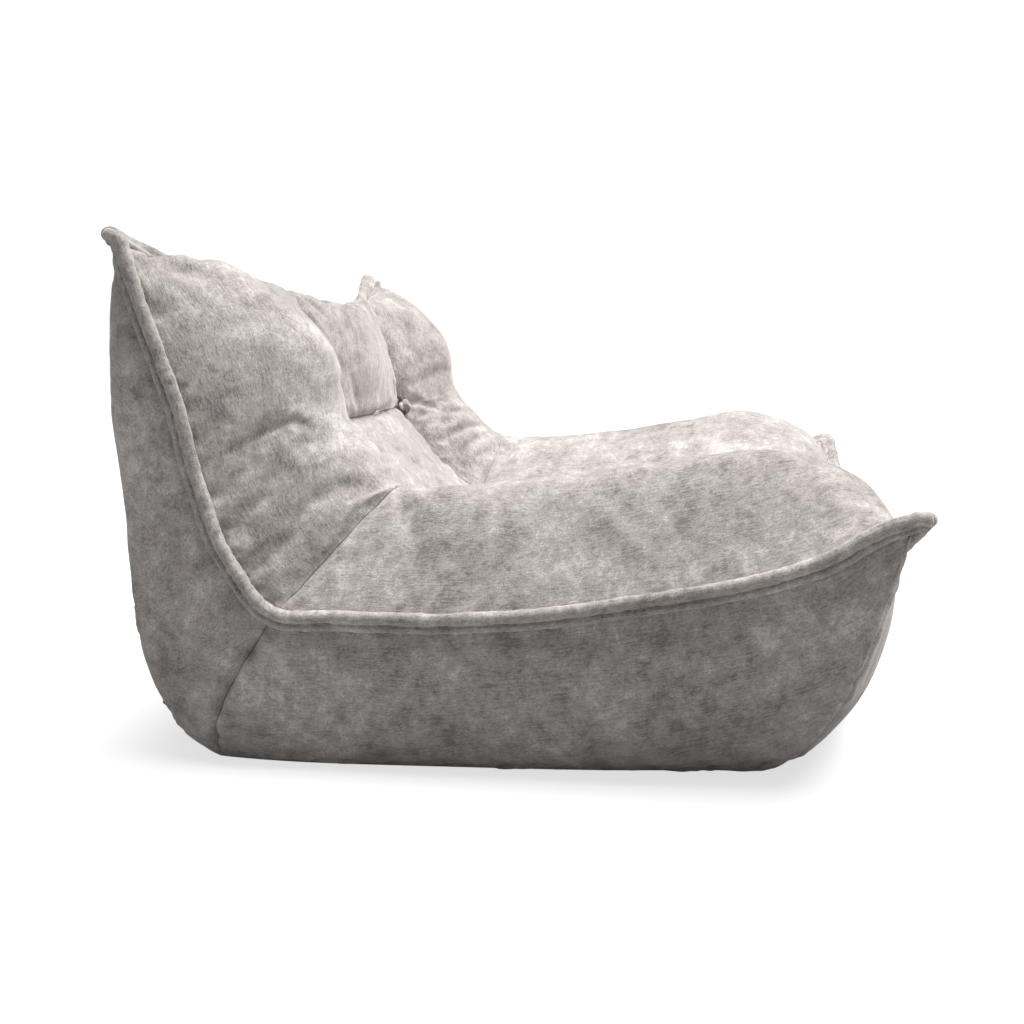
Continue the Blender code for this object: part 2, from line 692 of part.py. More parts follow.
def liner_and_fill(liner_mat, fill_mat):
    """The liner bag with a fill port in its back, the strip over the port, and the beads inside."""
    bm = body_bmesh()
    relax_inside(bm, LINER_DEPTH, CLOTH + LINER_BASE_GAP)
    fill = bm.copy()
    inset = LINER_CLOTH + FILL_CLEARANCE
    for vert, twin in zip(bm.verts, fill.verts):
        twin.co = vert.co - vert.normal * inset
    mesh_object("bead_fill", fill, fill_mat)
    fill.free()
    port_middle = Vector(metres(0, 0, 40))
    reachable = [f for f in bm.faces if f.normal.y > 0.7]
    port = min(reachable, key=lambda f: (f.calc_center_median() - port_middle).length)
    corners = [v.co.copy() for v in port.verts]
    normal = port.normal.copy()
    bmesh.ops.delete(bm, geom=[port], context="FACES_ONLY")
    liner = mesh_object("liner_bag", bm, liner_mat)
    bm.free()
    thicken(liner, LINER_CLOTH)
    port_strip(corners, normal, liner_mat)


def port_strip(corners, normal, mat):
    """The stitched strip that closes the port, a little larger than it, on the liner's outside."""
    middle = sum(corners, Vector()) / len(corners)
    overlap = 1.25
    inner = [middle + (c - middle) * overlap + normal * 4 * TOUCH for c in corners]
    outer = [c + normal * PORT_STRIP for c in inner]
    count = len(corners)
    faces = [tuple(range(count)), tuple(range(2 * count - 1, count - 1, -1))]
    faces += [(k, (k + 1) % count, (k + 1) % count + count, k + count) for k in range(count)]
    add_object("liner_port_strip", inner + outer, faces, mat, smooth=False)


# Cover zip

def zip_holder():
    """An empty at the middle of the zip: X along it, Y down the back, Z out of the cover."""
    point = lower(REAR_MIDDLE, REAR_HEM)
    down = lower(REAR_MIDDLE, REAR_HEM + 0.02) - lower(REAR_MIDDLE, REAR_HEM - 0.02)
    down /= np.linalg.norm(down)
    holder = bpy.data.objects.new("zip_line", None)
    holder.location = point
    holder.rotation_euler = (math.atan2(down[2], down[1]), 0, 0)
    bpy.context.scene.collection.objects.link(holder)
    return holder


def box_mesh(name, low, high, mat):
    verts = [(x, y, z) for x in (low[0], high[0]) for y in (low[1], high[1]) for z in (low[2], high[2])]
    faces = [(0, 1, 3, 2), (4, 6, 7, 5), (0, 4, 5, 1), (2, 3, 7, 6), (0, 2, 6, 4), (1, 5, 7, 3)]
    return add_object(name, verts, faces, mat, smooth=False)


def cut_with(obj, cutter, operation):
    cutter.hide_render = True
    cutter.display_type = "WIRE"
    mod = obj.modifiers.new(cutter.name, "BOOLEAN")
    mod.operation = operation
    mod.solver = "EXACT"
    mod.object = cutter


def zip_tapes_and_rows(holder, tape_mat, teeth_mat):
    half = ZIP_LENGTH / 2
    tape_top = -TAPE_DEPTH
    row_low = tape_top + TOUCH
    for name, sign in (("upper", -1), ("lower", 1)):
        edges = sorted((sign * ROW_GAP, sign * (ROW_GAP + TAPE_WIDTH)))
        tape = box_mesh(f"zip_tape_{name}", (-half - 2 * STOP_LENGTH, edges[0], tape_top - TAPE_THICKNESS),
                        (half + 2 * STOP_LENGTH, edges[1], tape_top), tape_mat)
        edges = sorted((sign * ROW_GAP, sign * (ROW_GAP + ROW_WIDTH)))
        row = box_mesh(f"zip_teeth_{name}", (-half + STOP_LENGTH / 2 + TOUCH, edges[0], row_low),
                       (half - STOP_LENGTH / 2 - TOUCH, edges[1], row_low + ROW_HEIGHT), teeth_mat)
        tape.parent = row.parent = holder


def zip_stops(holder, mat):
    wide = ROW_GAP + ROW_WIDTH
    low = -TAPE_DEPTH + TOUCH
    for name, sign in (("closed", -1), ("open", 1)):
        at = sign * ZIP_LENGTH / 2
        stop = box_mesh(f"zip_stop_{name}", (at - STOP_LENGTH / 2, -wide, low),
                        (at + STOP_LENGTH / 2, wide, low + ROW_HEIGHT), mat)
        stop.parent = holder


def slider_plates():
    """Heights in the holder's frame: under plate's two faces, upper plate's two faces."""
    under_top = -TAPE_DEPTH - TAPE_THICKNESS - TOUCH
    over_low = -TAPE_DEPTH + TOUCH + ROW_HEIGHT + TOUCH
    return under_top - SLIDER_PLATE, under_top, over_low, over_low + SLIDER_PLATE


def zip_slider(holder, mat, pull_mat):
    """The slider: two plates with a web between the rows, a bridge on top, and its pull tab."""
    low, under, over, top = slider_plates()
    half_length, half_width, web = SLIDER_LENGTH / 2, SLIDER_WIDTH / 2, SLIDER_WEB / 2
    outline = [(-half_width, low), (half_width, low), (half_width, under), (web, under), (web, over),
               (half_width, over), (half_width, top), (-half_width, top), (-half_width, over),
               (-web, over), (-web, under), (-half_width, under)]
    verts = [(x, y, z) for x in (-half_length, half_length) for y, z in outline]
    count = len(outline)
    faces = [tuple(range(count)), tuple(range(2 * count - 1, count - 1, -1))]
    faces += [(k, (k + 1) % count, (k + 1) % count + count, k + count) for k in range(count)]
    slider = add_object("zip_slider", verts, faces, mat, smooth=False)
    slider.parent = holder
    slider.location.x = -ZIP_LENGTH / 2 + STOP_LENGTH / 2 + TOUCH + half_length
    axis = top + BAIL_CLEARANCE + PULL_THICKNESS / 2
    beam = axis + PULL_THICKNESS / 2 + BAIL_CLEARANCE
    bridge_half = half_length * 0.7
    bite = BAIL_POST / 2
    bridge = [((-bridge_half, -BAIL_POST, top - bite), (-bridge_half + BAIL_POST, BAIL_POST, beam + bite)),
              ((bridge_half - BAIL_POST, -BAIL_POST, top - bite), (bridge_half, BAIL_POST, beam + bite)),
              ((-bridge_half, -BAIL_POST, beam), (bridge_half, BAIL_POST, beam + BAIL_POST))]
    for number, (a, b) in enumerate(bridge):
        piece = box_mesh(f"bridge_cutter_{number}", a, b, mat)
        piece.parent = slider
        cut_with(slider, piece, "UNION")
    pull_tab(slider, axis, bridge_half, pull_mat)


def pull_tab(slider, axis, bridge_half, mat):
    """A flat tab, hanging by an end bar under the slider's bridge; its slot clears the bridge."""
    half_width, half_thick = PULL_WIDTH / 2, PULL_THICKNESS / 2
    tab = box_mesh("zip_pull", (-half_thick, -half_width, -half_thick),
                   (PULL_LENGTH, half_width, half_thick), mat)
    rounding = tab.modifiers.new("round_end", "BEVEL")
    rounding.width = PULL_THICKNESS / 4
    rounding.segments = 1
    slot_end = math.hypot(bridge_half, PULL_THICKNESS + BAIL_CLEARANCE + BAIL_POST) + 2 * BAIL_CLEARANCE
    slot_half = BAIL_POST + BAIL_CLEARANCE
    slot = box_mesh("pull_slot_cutter", (half_thick, -slot_half, -PULL_THICKNESS),
                    (slot_end, slot_half, PULL_THICKNESS), mat)
    tab.parent = slider
    tab.location.z = axis
    tab.rotation_euler.y = -math.pi / 2
    slot.parent = tab
    cut_with(tab, slot, "DIFFERENCE")


def main():
    clear_scene()
    chenille = material("chenille", (0.40, 0.36, 0.34), 0.9)
    dark_chenille = material("chenille_fold", (0.24, 0.22, 0.21), 0.9)
    base_cloth = material("base_cloth", (0.10, 0.10, 0.10), 0.85)
    wadding = material("wadding", (0.85, 0.84, 0.82), 0.95)
    liner_cloth = material("liner_cloth", (0.75, 0.75, 0.74), 0.8)
    beads = material("beads", (0.93, 0.93, 0.93), 0.8)
    cord = material("cotton_cord", (0.80, 0.78, 0.72), 0.9)
    plastic = material("anchor_plastic", (0.80, 0.80, 0.80), 0.5)
    tape = material("zip_tape", (0.16, 0.15, 0.14), 0.85)
    teeth = material("zip_teeth", (0.14, 0.13, 0.12), 0.5)
    metal = material("zip_metal", (0.35, 0.33, 0.30), 0.4, 1.0)
    upper_panels(chenille)
    lower_panels(chenille, base_cloth)
    flange(chenille, dark_chenille, cord)
    for side, sign in (("left", 1), ("right", -1)):
        tuft(side, sign, chenille, cord, plastic)
    pads(wadding)
    liner_and_fill(liner_cloth, beads)
    holder = zip_holder()
    zip_tapes_and_rows(holder, tape, teeth)
    zip_stops(holder, metal)
    zip_slider(holder, metal, metal)


main()
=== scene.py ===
"""Bean bag lounge chair: the sewn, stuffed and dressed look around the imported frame.

+X is the sitter's left, -Y the front, +Z up; metres.
"""

import json
import logging
import math
from dataclasses import dataclass
from enum import Enum

import bmesh
import bpy
import numpy as np
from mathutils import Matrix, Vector

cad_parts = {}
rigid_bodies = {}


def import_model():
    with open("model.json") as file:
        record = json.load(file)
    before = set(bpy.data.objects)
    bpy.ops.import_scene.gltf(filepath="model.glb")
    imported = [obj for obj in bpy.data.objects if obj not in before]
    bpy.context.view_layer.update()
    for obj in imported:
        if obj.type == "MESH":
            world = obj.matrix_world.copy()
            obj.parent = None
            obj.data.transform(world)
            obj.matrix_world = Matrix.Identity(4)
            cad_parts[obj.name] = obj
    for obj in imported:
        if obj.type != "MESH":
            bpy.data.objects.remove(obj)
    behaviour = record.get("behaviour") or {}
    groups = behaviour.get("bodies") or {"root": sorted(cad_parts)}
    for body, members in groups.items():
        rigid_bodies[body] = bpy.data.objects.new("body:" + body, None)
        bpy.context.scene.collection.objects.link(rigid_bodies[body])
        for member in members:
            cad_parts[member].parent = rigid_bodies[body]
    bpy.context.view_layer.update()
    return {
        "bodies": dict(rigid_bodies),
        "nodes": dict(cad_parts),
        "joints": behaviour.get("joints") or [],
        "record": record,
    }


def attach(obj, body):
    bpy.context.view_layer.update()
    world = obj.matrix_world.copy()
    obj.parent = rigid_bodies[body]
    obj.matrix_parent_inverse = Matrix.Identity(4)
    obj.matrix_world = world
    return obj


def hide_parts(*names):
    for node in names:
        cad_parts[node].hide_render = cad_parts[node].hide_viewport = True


logging.basicConfig(level=logging.INFO, format="%(message)s")
LOG = logging.getLogger("chair")
Points = np.ndarray
ROOT = "cover"


class Panel(Enum):
    """The sewn panels of the cover, by the frame's node names."""

    SEAT = "seat_panel"
    WING_LEFT = "wing_panel_left"
    WING_RIGHT = "wing_panel_right"
    PILLOW = "pillow_panel"
    LUMBAR = "lumbar_panel"
    REAR = "rear_shell_panel"
    SIDE_LEFT = "side_panel_left"
    SIDE_RIGHT = "side_panel_right"
    FRONT = "front_panel"
    BASE = "base_panel"


# ---------------------------------------------------------------- shader sockets


@dataclass
class Wire:
    """A value socket that can be used in expressions; each operation adds a Math node."""

    tree: bpy.types.NodeTree
    socket: bpy.types.NodeSocket

    def _math(self, operation: str, first: object, second: object = None) -> "Wire":
        """Adds a Math node.

        Args:
            operation: the node's operation.
            first: its first value or wire.
            second: its second value or wire, where the operation has one.

        Returns:
            The node's result.
        """
        node = self.tree.nodes.new("ShaderNodeMath")
        node.operation = operation
        for slot, value in zip(node.inputs, (first, second)):
            if isinstance(value, Wire):
                self.tree.links.new(value.socket, slot)
            elif value is not None:
                slot.default_value = value
        return Wire(self.tree, node.outputs[0])

    def __add__(self, other: object) -> "Wire":
        """Sum."""
        return self._math("ADD", self, other)

    __radd__ = __add__

    def __mul__(self, other: object) -> "Wire":
        """Product."""
        return self._math("MULTIPLY", self, other)

    __rmul__ = __mul__

    def __rsub__(self, other: object) -> "Wire":
        """Difference from a number."""
        return self._math("SUBTRACT", other, self)


class Shader:
    """A material being built: its tree, its Principled shader and helpers that add nodes."""

    def __init__(self, name: str) -> None:
        """Starts a material with a bare Principled shader.

        Args:
            name: the material's name.
        """
        self.material = bpy.data.materials.new(name)
        self.material.use_nodes = True
        self.tree = self.material.node_tree
        self.surface = self.tree.nodes["Principled BSDF"]

    def node(self, kind: str, settings: dict | None = None, output: int | str = 0, **sockets: object) -> Wire:
        """Adds any node.

        Args:
            kind: the node's type.
            settings: attributes of the node, set first.
            output: which output to return.
            **sockets: values or wires by socket name, with _ for a space.

        Returns:
            The chosen output.
        """
        node = self.tree.nodes.new(kind)
        for key, value in (settings or {}).items():
            setattr(node, key, value)
        for key, value in sockets.items():
            slot = node.inputs[int(key[1:])] if key[1:].isdigit() else node.inputs[key.replace("_", " ")]
            if isinstance(value, Wire):
                self.tree.links.new(value.socket, slot)
            else:
                slot.default_value = value
        return Wire(self.tree, node.outputs[output])

    def place(self, scale: tuple[float, float, float], by_uv: bool = False) -> Wire:
        """Coordinates of the surface, stretched.

        Args:
            scale: how many times along each axis.
            by_uv: take the piece's own UV map instead of its place in space.

        Returns:
            The coordinates.
        """
        source = self.node("ShaderNodeTexCoord", output="UV" if by_uv else "Object")
        return self.node("ShaderNodeMapping", Vector=source, Scale=scale)

    def noise(self, where: Wire, scale: float, detail: float = 3.0, rough: float = 0.5) -> Wire:
        """Noise from 0 to 1.

        Args:
            where: the coordinates.
            scale: its frequency.
            detail: how many finer layers.
            rough: how strong the finer layers are.

        Returns:
            The noise value.
        """
        return self.node("ShaderNodeTexNoise", Vector=where, Scale=scale, Detail=detail, Roughness=rough)

    def between(self, value: Wire, low: float, high: float) -> Wire:
        """The value's place between low and high, from 0 to 1.

        Args:
            value: the value.
            low: what becomes 0.
            high: what becomes 1.

        Returns:
            The clamped share.
        """
        return self.node("ShaderNodeMapRange", {"interpolation_type": "SMOOTHSTEP"}, Value=value,
                         From_Min=low, From_Max=high)

    def blend(self, share: Wire | float, first: object, second: object) -> Wire:
        """A colour between two.

        Args:
            share: how much of the second.
            first: a colour or a wire.
            second: a colour or a wire.

        Returns:
            The mixed colour.
        """
        return self.node("ShaderNodeMix", {"data_type": "RGBA"}, output=2, _0=share,
                         _6=first, _7=second)

    def link(self, value: Wire, name: str) -> None:
        """Feeds a wire to one of the surface's sockets."""
        self.tree.links.new(value.socket, self.surface.inputs[name])

    def bump(self, height: Wire, distance: float, strength: float = 1.0) -> None:
        """Feeds the surface's normal from a height.

        Args:
            height: the height, about 0 to 1.
            distance: how far 1 stands out, in metres.
            strength: how much of it shows.
        """
        normal = self.node("ShaderNodeBump", Height=height, Distance=distance, Strength=strength)
        self.link(normal, "Normal")

    def set(self, **values: object) -> None:
        """Sets uniform values on the surface's own sockets, with _ for a space in their names."""
        for key, value in values.items():
            self.surface.inputs[key.replace("_", " ")].default_value = value


# ---------------------------------------------------------------- finishes


@dataclass(frozen=True)
class Chenille:
    """Brushed chenille: blotches of painted sheen and painted shade where the nap lies over, slubby yarns
    lightened with painted sheen, painted shade in the fuzz's hollows, and a fine weave.
    """

    name: str = "chenille"
    # painted shade: a darker copy of the cloth's colour, for the dark blotches and the fuzz's hollows
    painted_shade: tuple[float, float, float] = (0.175, 0.158, 0.150)
    body: tuple[float, float, float] = (0.345, 0.315, 0.298)
    # painted sheen: a lighter copy of the cloth's colour, for the light blotches and the slub yarns
    painted_sheen: tuple[float, float, float] = (0.58, 0.545, 0.52)
    sheen: float = 0.55
    # how strongly the painted sheen shows on the slub yarns
    slub_sheen_amount: float = 1.0

    def material(self) -> bpy.types.Material:
        """Builds the material.

        Returns:
            The material.
        """
        s = Shader(self.name)
        space = s.place((1, 1, 1))
        broad = s.noise(space, 6.0, 2.0, 0.5)
        blotch = s.noise(space, 26.0, 8.0, 0.68)
        patch = s.noise(space, 75.0, 6.0, 0.72)
        along = s.noise(s.place((120, 560, 1), by_uv=True), 1.0, 3.0, 0.65)
        slubs = s.noise(s.place((34, 300, 1), by_uv=True), 1.0, 2.0, 0.5)
        across = s.noise(s.place((620, 260, 1), by_uv=True), 1.0, 2.0, 0.6)
        fuzz = s.noise(space, 330.0, 4.0, 0.8)
        yarn = along * 0.5 + across * 0.25 + slubs * 0.25
        sheen_shade_mottle = broad * 0.16 + blotch * 0.30 + patch * 0.20 + yarn * 0.22 + fuzz * 0.12
        # blotches darkened to painted shade where the mottle is low and lightened to painted sheen where it
        # is high
        dark = s.between(sheen_shade_mottle, 0.42, 0.505)
        light = s.between(sheen_shade_mottle, 0.495, 0.585)
        colour = s.blend(dark, (*self.painted_shade, 1), (*self.body, 1))
        colour = s.blend(light, colour, (*self.painted_sheen, 1))
        # painted sheen: the slub yarns lightened towards the lit copy of the colour
        slub_sheen = s.between(yarn, 0.42, 0.60)
        colour = s.blend(slub_sheen * 0.28 * self.slub_sheen_amount, colour, (*self.painted_sheen, 1))
        # painted shade: darker in the hollows of the fine fuzz, where the bump also sinks
        fuzz_unshaded = s.between(fuzz, 0.38, 0.50)
        colour = s.blend((1 - fuzz_unshaded) * 0.34, colour, (*self.painted_shade, 1))
        s.link(colour, "Base Color")
        s.link(0.97 - light * 0.16, "Roughness")
        s.bump(yarn * 0.7 + fuzz * 0.45 + patch * 0.2, 0.0014, 0.75)
        s.set(Sheen_Weight=self.sheen, Sheen_Roughness=0.42, Specular_IOR_Level=0.2,
              Sheen_Tint=(1.0, 0.965, 0.94, 1))
        return s.material


@dataclass(frozen=True)
class PlainCloth:
    """A plain woven cloth or tape."""

    name: str
    colour: tuple[float, float, float]
    threads: float = 900.0
    roughness: float = 0.85

    def material(self) -> bpy.types.Material:
        """Builds the material.

        Returns:
            The material.
        """
        s = Shader(self.name)
        space = s.place((1, 1, 1))
        warp = s.node("ShaderNodeTexWave", {"bands_direction": "X"}, Vector=space,
                      Scale=self.threads / 20, Distortion=1.5, Detail=2.0)
        weft = s.node("ShaderNodeTexWave", {"bands_direction": "Z"}, Vector=space,
                      Scale=self.threads / 20, Distortion=1.5, Detail=2.0)
        wear = s.noise(space, 14.0, 4.0, 0.6)
        lighter = tuple(min(1.0, c * 1.35 + 0.01) for c in self.colour)
        darker = tuple(c * 0.8 for c in self.colour)
        colour = s.blend(s.between(wear, 0.35, 0.7), (*darker, 1), (*lighter, 1))
        s.link(colour, "Base Color")
        s.link(self.roughness + wear * 0.1, "Roughness")
        s.bump(warp * 0.5 + weft * 0.5, 0.0004, 0.6)
        return s.material


@dataclass(frozen=True)
class Metal:
    """Plated zip metal with rubbed edges."""

    name: str = "zip_metal"
    colour: tuple[float, float, float] = (0.36, 0.34, 0.31)

    def material(self) -> bpy.types.Material:
        """Builds the material.

        Returns:
            The material.
        """
        s = Shader(self.name)
        rub = s.noise(s.place((1, 1, 1)), 700.0, 3.0, 0.6)
        bright = tuple(min(1.0, c * 1.6) for c in self.colour)
        s.link(s.blend(s.between(rub, 0.45, 0.7), (*self.colour, 1), (*bright, 1)), "Base Color")
        s.link(0.28 + rub * 0.25, "Roughness")
        s.bump(rub, 0.00005)
        s.set(Metallic=1.0)
        return s.material


# ---------------------------------------------------------------- smooth surfaces


def weights(knots: list[float], at: Points, closed: bool = False) -> Points:
    """How much each knot's point counts on a smooth curve through them all.

    Args:
        knots: the curve's knots; for a closed curve, 0, 1, 2 and so on.
        at: where on the curve.
        closed: whether the curve joins up.

    Returns:
        One row of weights for each place.
    """
    count = len(knots)
    result = np.zeros((len(at), count))
    for row, place in enumerate(at):
        if closed:
            k = int(math.floor(place)) % count
            q, span = place - math.floor(place), 1.0
            ids = [(k + j) % count for j in (-1, 0, 1, 2)]
            widths = (2.0, 2.0)
        else:
            k = min(max(int(np.searchsorted(knots, place)) - 1, 0), count - 2)
            span = knots[k + 1] - knots[k]
            q = (place - knots[k]) / span
            ids = [max(k - 1, 0), k, k + 1, min(k + 2, count - 1)]
            widths = (knots[ids[2]] - knots[ids[0]], knots[ids[3]] - knots[ids[1]])
        base = (2 * q ** 3 - 3 * q * q + 1, 3 * q * q - 2 * q ** 3)
        slopes = ((q ** 3 - 2 * q * q + q) * span / widths[0], (q ** 3 - q * q) * span / widths[1])
        for index, share in zip(ids, (-slopes[0], base[0] - slopes[1], base[1] + slopes[0], slopes[1])):
            result[row, index] += share
    return result


def normals_of(points: Points) -> Points:
    """Unit normals of a grid of points, by its two directions.

    Args:
        points: rows x columns x 3.

    Returns:
        A grid of unit vectors.
    """
    normal = np.cross(np.gradient(points, axis=0), np.gradient(points, axis=1))
    return normal / np.maximum(np.linalg.norm(normal, axis=2, keepdims=True), 1e-12)


def subdivided(knots: list[float], lengths: list[float], cell: float) -> Points:
    """The knots with even steps between them.

    Args:
        knots: increasing places.
        lengths: the length of each stretch between two knots.
        cell: the wanted step in metres.

    Returns:
        All the places, the knots among them.
    """
    places = [knots[0]]
    for low, high, length in zip(knots, knots[1:], lengths):
        steps = max(2, int(round(length / cell)))
        places += [low + (high - low) * (k + 1) / steps for k in range(steps)]
    return np.array(places)


@dataclass
class Form:
    """The chair's overall form: an upper sheet over back and seat, and a shell down to the floor.

    Places are percent of the form's depth and height, at fixed shares of its half width.
    """

    half_width: float = 0.54
    depth: float = 1.088
    height: float = 0.716
    rear_zero: float = 0.543243
    across: tuple = (0.0, 0.37, 0.63, 0.78, 1.0)
    seam_row: int = 3
    crook_row: int = 5
    rear_hem: float = 0.88
    side_hem: float = 0.965
    upper_rows: tuple = (
        ((14.0, 86.4), (12.4, 88.7), (9.9, 91.0), (7.9, 93.6), (6.0, 98.8)),
        ((17.6, 89.8), (14.9, 91.6), (15.6, 93.8), (13.2, 96.0), (8.6, 84.5)),
        ((21.3, 76.0), (18.8, 77.5), (24.6, 80.5), (22.6, 81.5), (11.8, 71.0)),
        ((21.2, 63.0), (21.2, 63.5), (26.8, 66.0), (25.2, 66.0), (14.0, 56.0)),
        ((27.0, 52.0), (26.3, 52.0), (30.8, 57.5), (29.4, 58.0), (17.6, 41.0)),
        ((35.5, 39.7), (35.0, 41.0), (36.0, 50.5), (34.8, 52.0), (23.2, 31.0)),
        ((44.5, 39.5), (44.0, 42.0), (43.0, 50.5), (42.0, 52.0), (32.8, 30.5)),
        ((57.5, 41.3), (57.5, 44.3), (57.5, 52.8), (57.5, 54.2), (48.5, 31.0)),
        ((71.5, 44.3), (71.5, 47.2), (71.5, 56.2), (71.5, 57.5), (66.5, 34.8)),
        ((84.0, 47.0), (84.0, 49.0), (83.5, 58.0), (83.5, 59.4), (85.0, 41.2)),
        ((94.2, 45.5), (94.2, 46.8), (94.0, 53.8), (94.0, 55.0), (93.4, 48.0)),
        ((98.4, 36.5), (98.5, 38.0), (98.6, 42.0), (98.6, 45.0), (98.4, 51.0)),
    )
    side_guides: tuple = (
        ((1.4, 100.0, 93.0), (1.2, 96, 15.0), (11.4, 75)),
        ((2.8, 101.5, 82.5), (0.9, 101, 14.0), (11.5, 81)),
        ((4.6, 102.5, 70.0), (-0.6, 103, 12.5), (11.8, 85)),
        ((7.2, 102.5, 54.0), (0.8, 104, 11.0), (12.3, 88)),
        ((11.6, 102, 37.0), (4.8, 104, 9.0), (12.8, 90)),
        ((20.2, 101.5, 24.0), (11.8, 104, 7.5), (14.4, 92)),
        ((30.5, 101, 21.0), (25.5, 104, 5.5), (25.5, 93)),
        ((47.0, 101, 20.5), (43.0, 104, 5.3), (43.0, 91)),
        ((66.0, 101, 23.0), (62.5, 103, 5.5), (62.0, 88)),
        ((84.5, 101, 28.5), (79.5, 102, 6.3), (76.5, 84)),
        ((95.0, 100.5, 35.0), (89.0, 101, 7.0), (81.0, 83.5)),
        ((95.6, 100, 38.0), (92.8, 98.5, 7.0), (83.4, 79)),
    )
    front_guides: tuple = (
        ((97.2, 82, 36.5), (96.4, 86, 7.0), (85.4, 74)),
        ((100.0, 67, 33.5), (97.8, 71, 7.0), (88.0, 62)),
        ((101.0, 39, 30.0), (99.8, 41, 6.3), (92.6, 36)),
        ((101.2, 0, 28.5), (100.0, 0, 6.3), (93.4, 0)),
    )
    rear_guides: tuple = (
        ((-1.4, 80, 86.0), (-5.3, 78, 12.5), (10.6, 61)),
        ((-2.8, 64, 82.5), (-5.1, 63, 11.3), (10.5, 48)),
        ((-3.1, 37, 79.0), (-5.1, 37, 11.3), (10.5, 28)),
        ((-3.1, 0, 76.5), (-5.1, 0, 11.3), (10.5, 0)),
    )

    def __post_init__(self) -> None:
        """Lays out the stations across, the steps round the flange and the guide rings."""
        half = [[self.metres(row[k][0], share * 100, row[k][1]) for row in self.upper_rows]
                for k, share in enumerate(self.across)]
        flip = np.array((-1, 1, 1))
        self.stations = np.array([[p * flip for p in line] for line in half[:0:-1]] + half)
        self.places = [-a for a in self.across[:0:-1]] + list(self.across)
        self.last_row = len(self.upper_rows) - 1
        steps = len(self.places) - 1
        self.right_start = self.last_row + steps
        self.top_start = self.right_start + self.last_row
        self.around = self.top_start + steps
        self.rings = self._rings()

    def metres(self, depth: float, width: float, height: float) -> Points:
        """A point from its place in percent of the form."""
        return np.array((width / 100 * self.half_width, self.rear_zero - depth / 100 * self.depth,
                         height / 100 * self.height))

    def _rings(self) -> Points:
        """The two guide points and the floor point at each step round the flange.

        Returns:
            Steps x 3 x 3.
        """
        def points(guide: tuple, sign: int) -> list:
            first, second, floor = guide
            return [self.metres(first[0], sign * first[1], first[2]),
                    self.metres(second[0], sign * second[1], second[2]),
                    self.metres(floor[0], sign * floor[1], 0)]

        order = [(g, 1) for g in self.side_guides] + [(g, 1) for g in self.front_guides]
        order += [(g, -1) for g in self.front_guides[2::-1]] + [(g, -1) for g in self.side_guides[::-1]]
        order += [(g, -1) for g in self.rear_guides] + [(g, 1) for g in self.rear_guides[2::-1]]
        return np.array([points(g, sign) for g, sign in order])

    def upper(self, across: Points, rows: Points) -> Points:
        """The upper sheet over a grid of places.

        Args:
            across: places from -1, the right flange, to 1, the left.
            rows: places from 0, the top edge, to the last row, the front edge.

        Returns:
            across x rows x 3.
        """
        by_row = weights(list(range(self.last_row + 1)), np.asarray(rows, float))
        by_place = weights(self.places, np.asarray(across, float))
        return np.einsum("as,tr,srk->atk", by_place, by_row, self.stations)

    def flange_place(self, around: float) -> tuple[float, float]:
        """(across, row) on the upper sheet at a place round the flange."""
        around = around % self.around
        turned = self.places[::-1]
        if around <= self.last_row:
            return 1.0, around
        if around <= self.right_start:
            return float(np.interp(around - self.last_row, range(len(turned)), turned)), float(self.last_row)
        if around <= self.top_start:
            return -1.0, self.top_start - around
        return float(np.interp(around - self.top_start, range(len(turned)), self.places)), 0.0

    def flange(self, around: Points) -> Points:
        """Points of the flange seam at places round it."""
        return np.array([self.upper([a], [r])[0, 0] for a, r in map(self.flange_place, around)])

    def lower(self, around: Points, down: Points) -> Points:
        """The shell over a grid of places.

        Args:
            around: places round the flange.
            down: for each place round the flange, shares of the way from flange to floor.

        Returns:
            around x down x 3.
        """
        ring = weights(list(range(self.around)), np.asarray(around) % self.around, closed=True)
        first, second, floor = (ring @ self.rings[:, k] for k in range(3))
        start = self.flange(around)
        d = np.asarray(down)[..., None]
        rest = 1 - d
        return (rest ** 3 * start[:, None] + 3 * rest * rest * d * first[:, None]
                + 3 * rest * d * d * second[:, None] + d ** 3 * floor[:, None])

    def hem(self, around: float) -> float:
        """How far down the base panel's edge runs at a place round the flange."""
        middle = (self.top_start + self.around) / 2
        half = self.around / 2
        off = abs((around - middle + half) % self.around - half)
        share = min(max(off - self.crook_row - len(self.places) / 2 + 0.5, 0.0), 1.0)
        return self.rear_hem + (self.side_hem - self.rear_hem) * share


# ---------------------------------------------------------------- cloth work


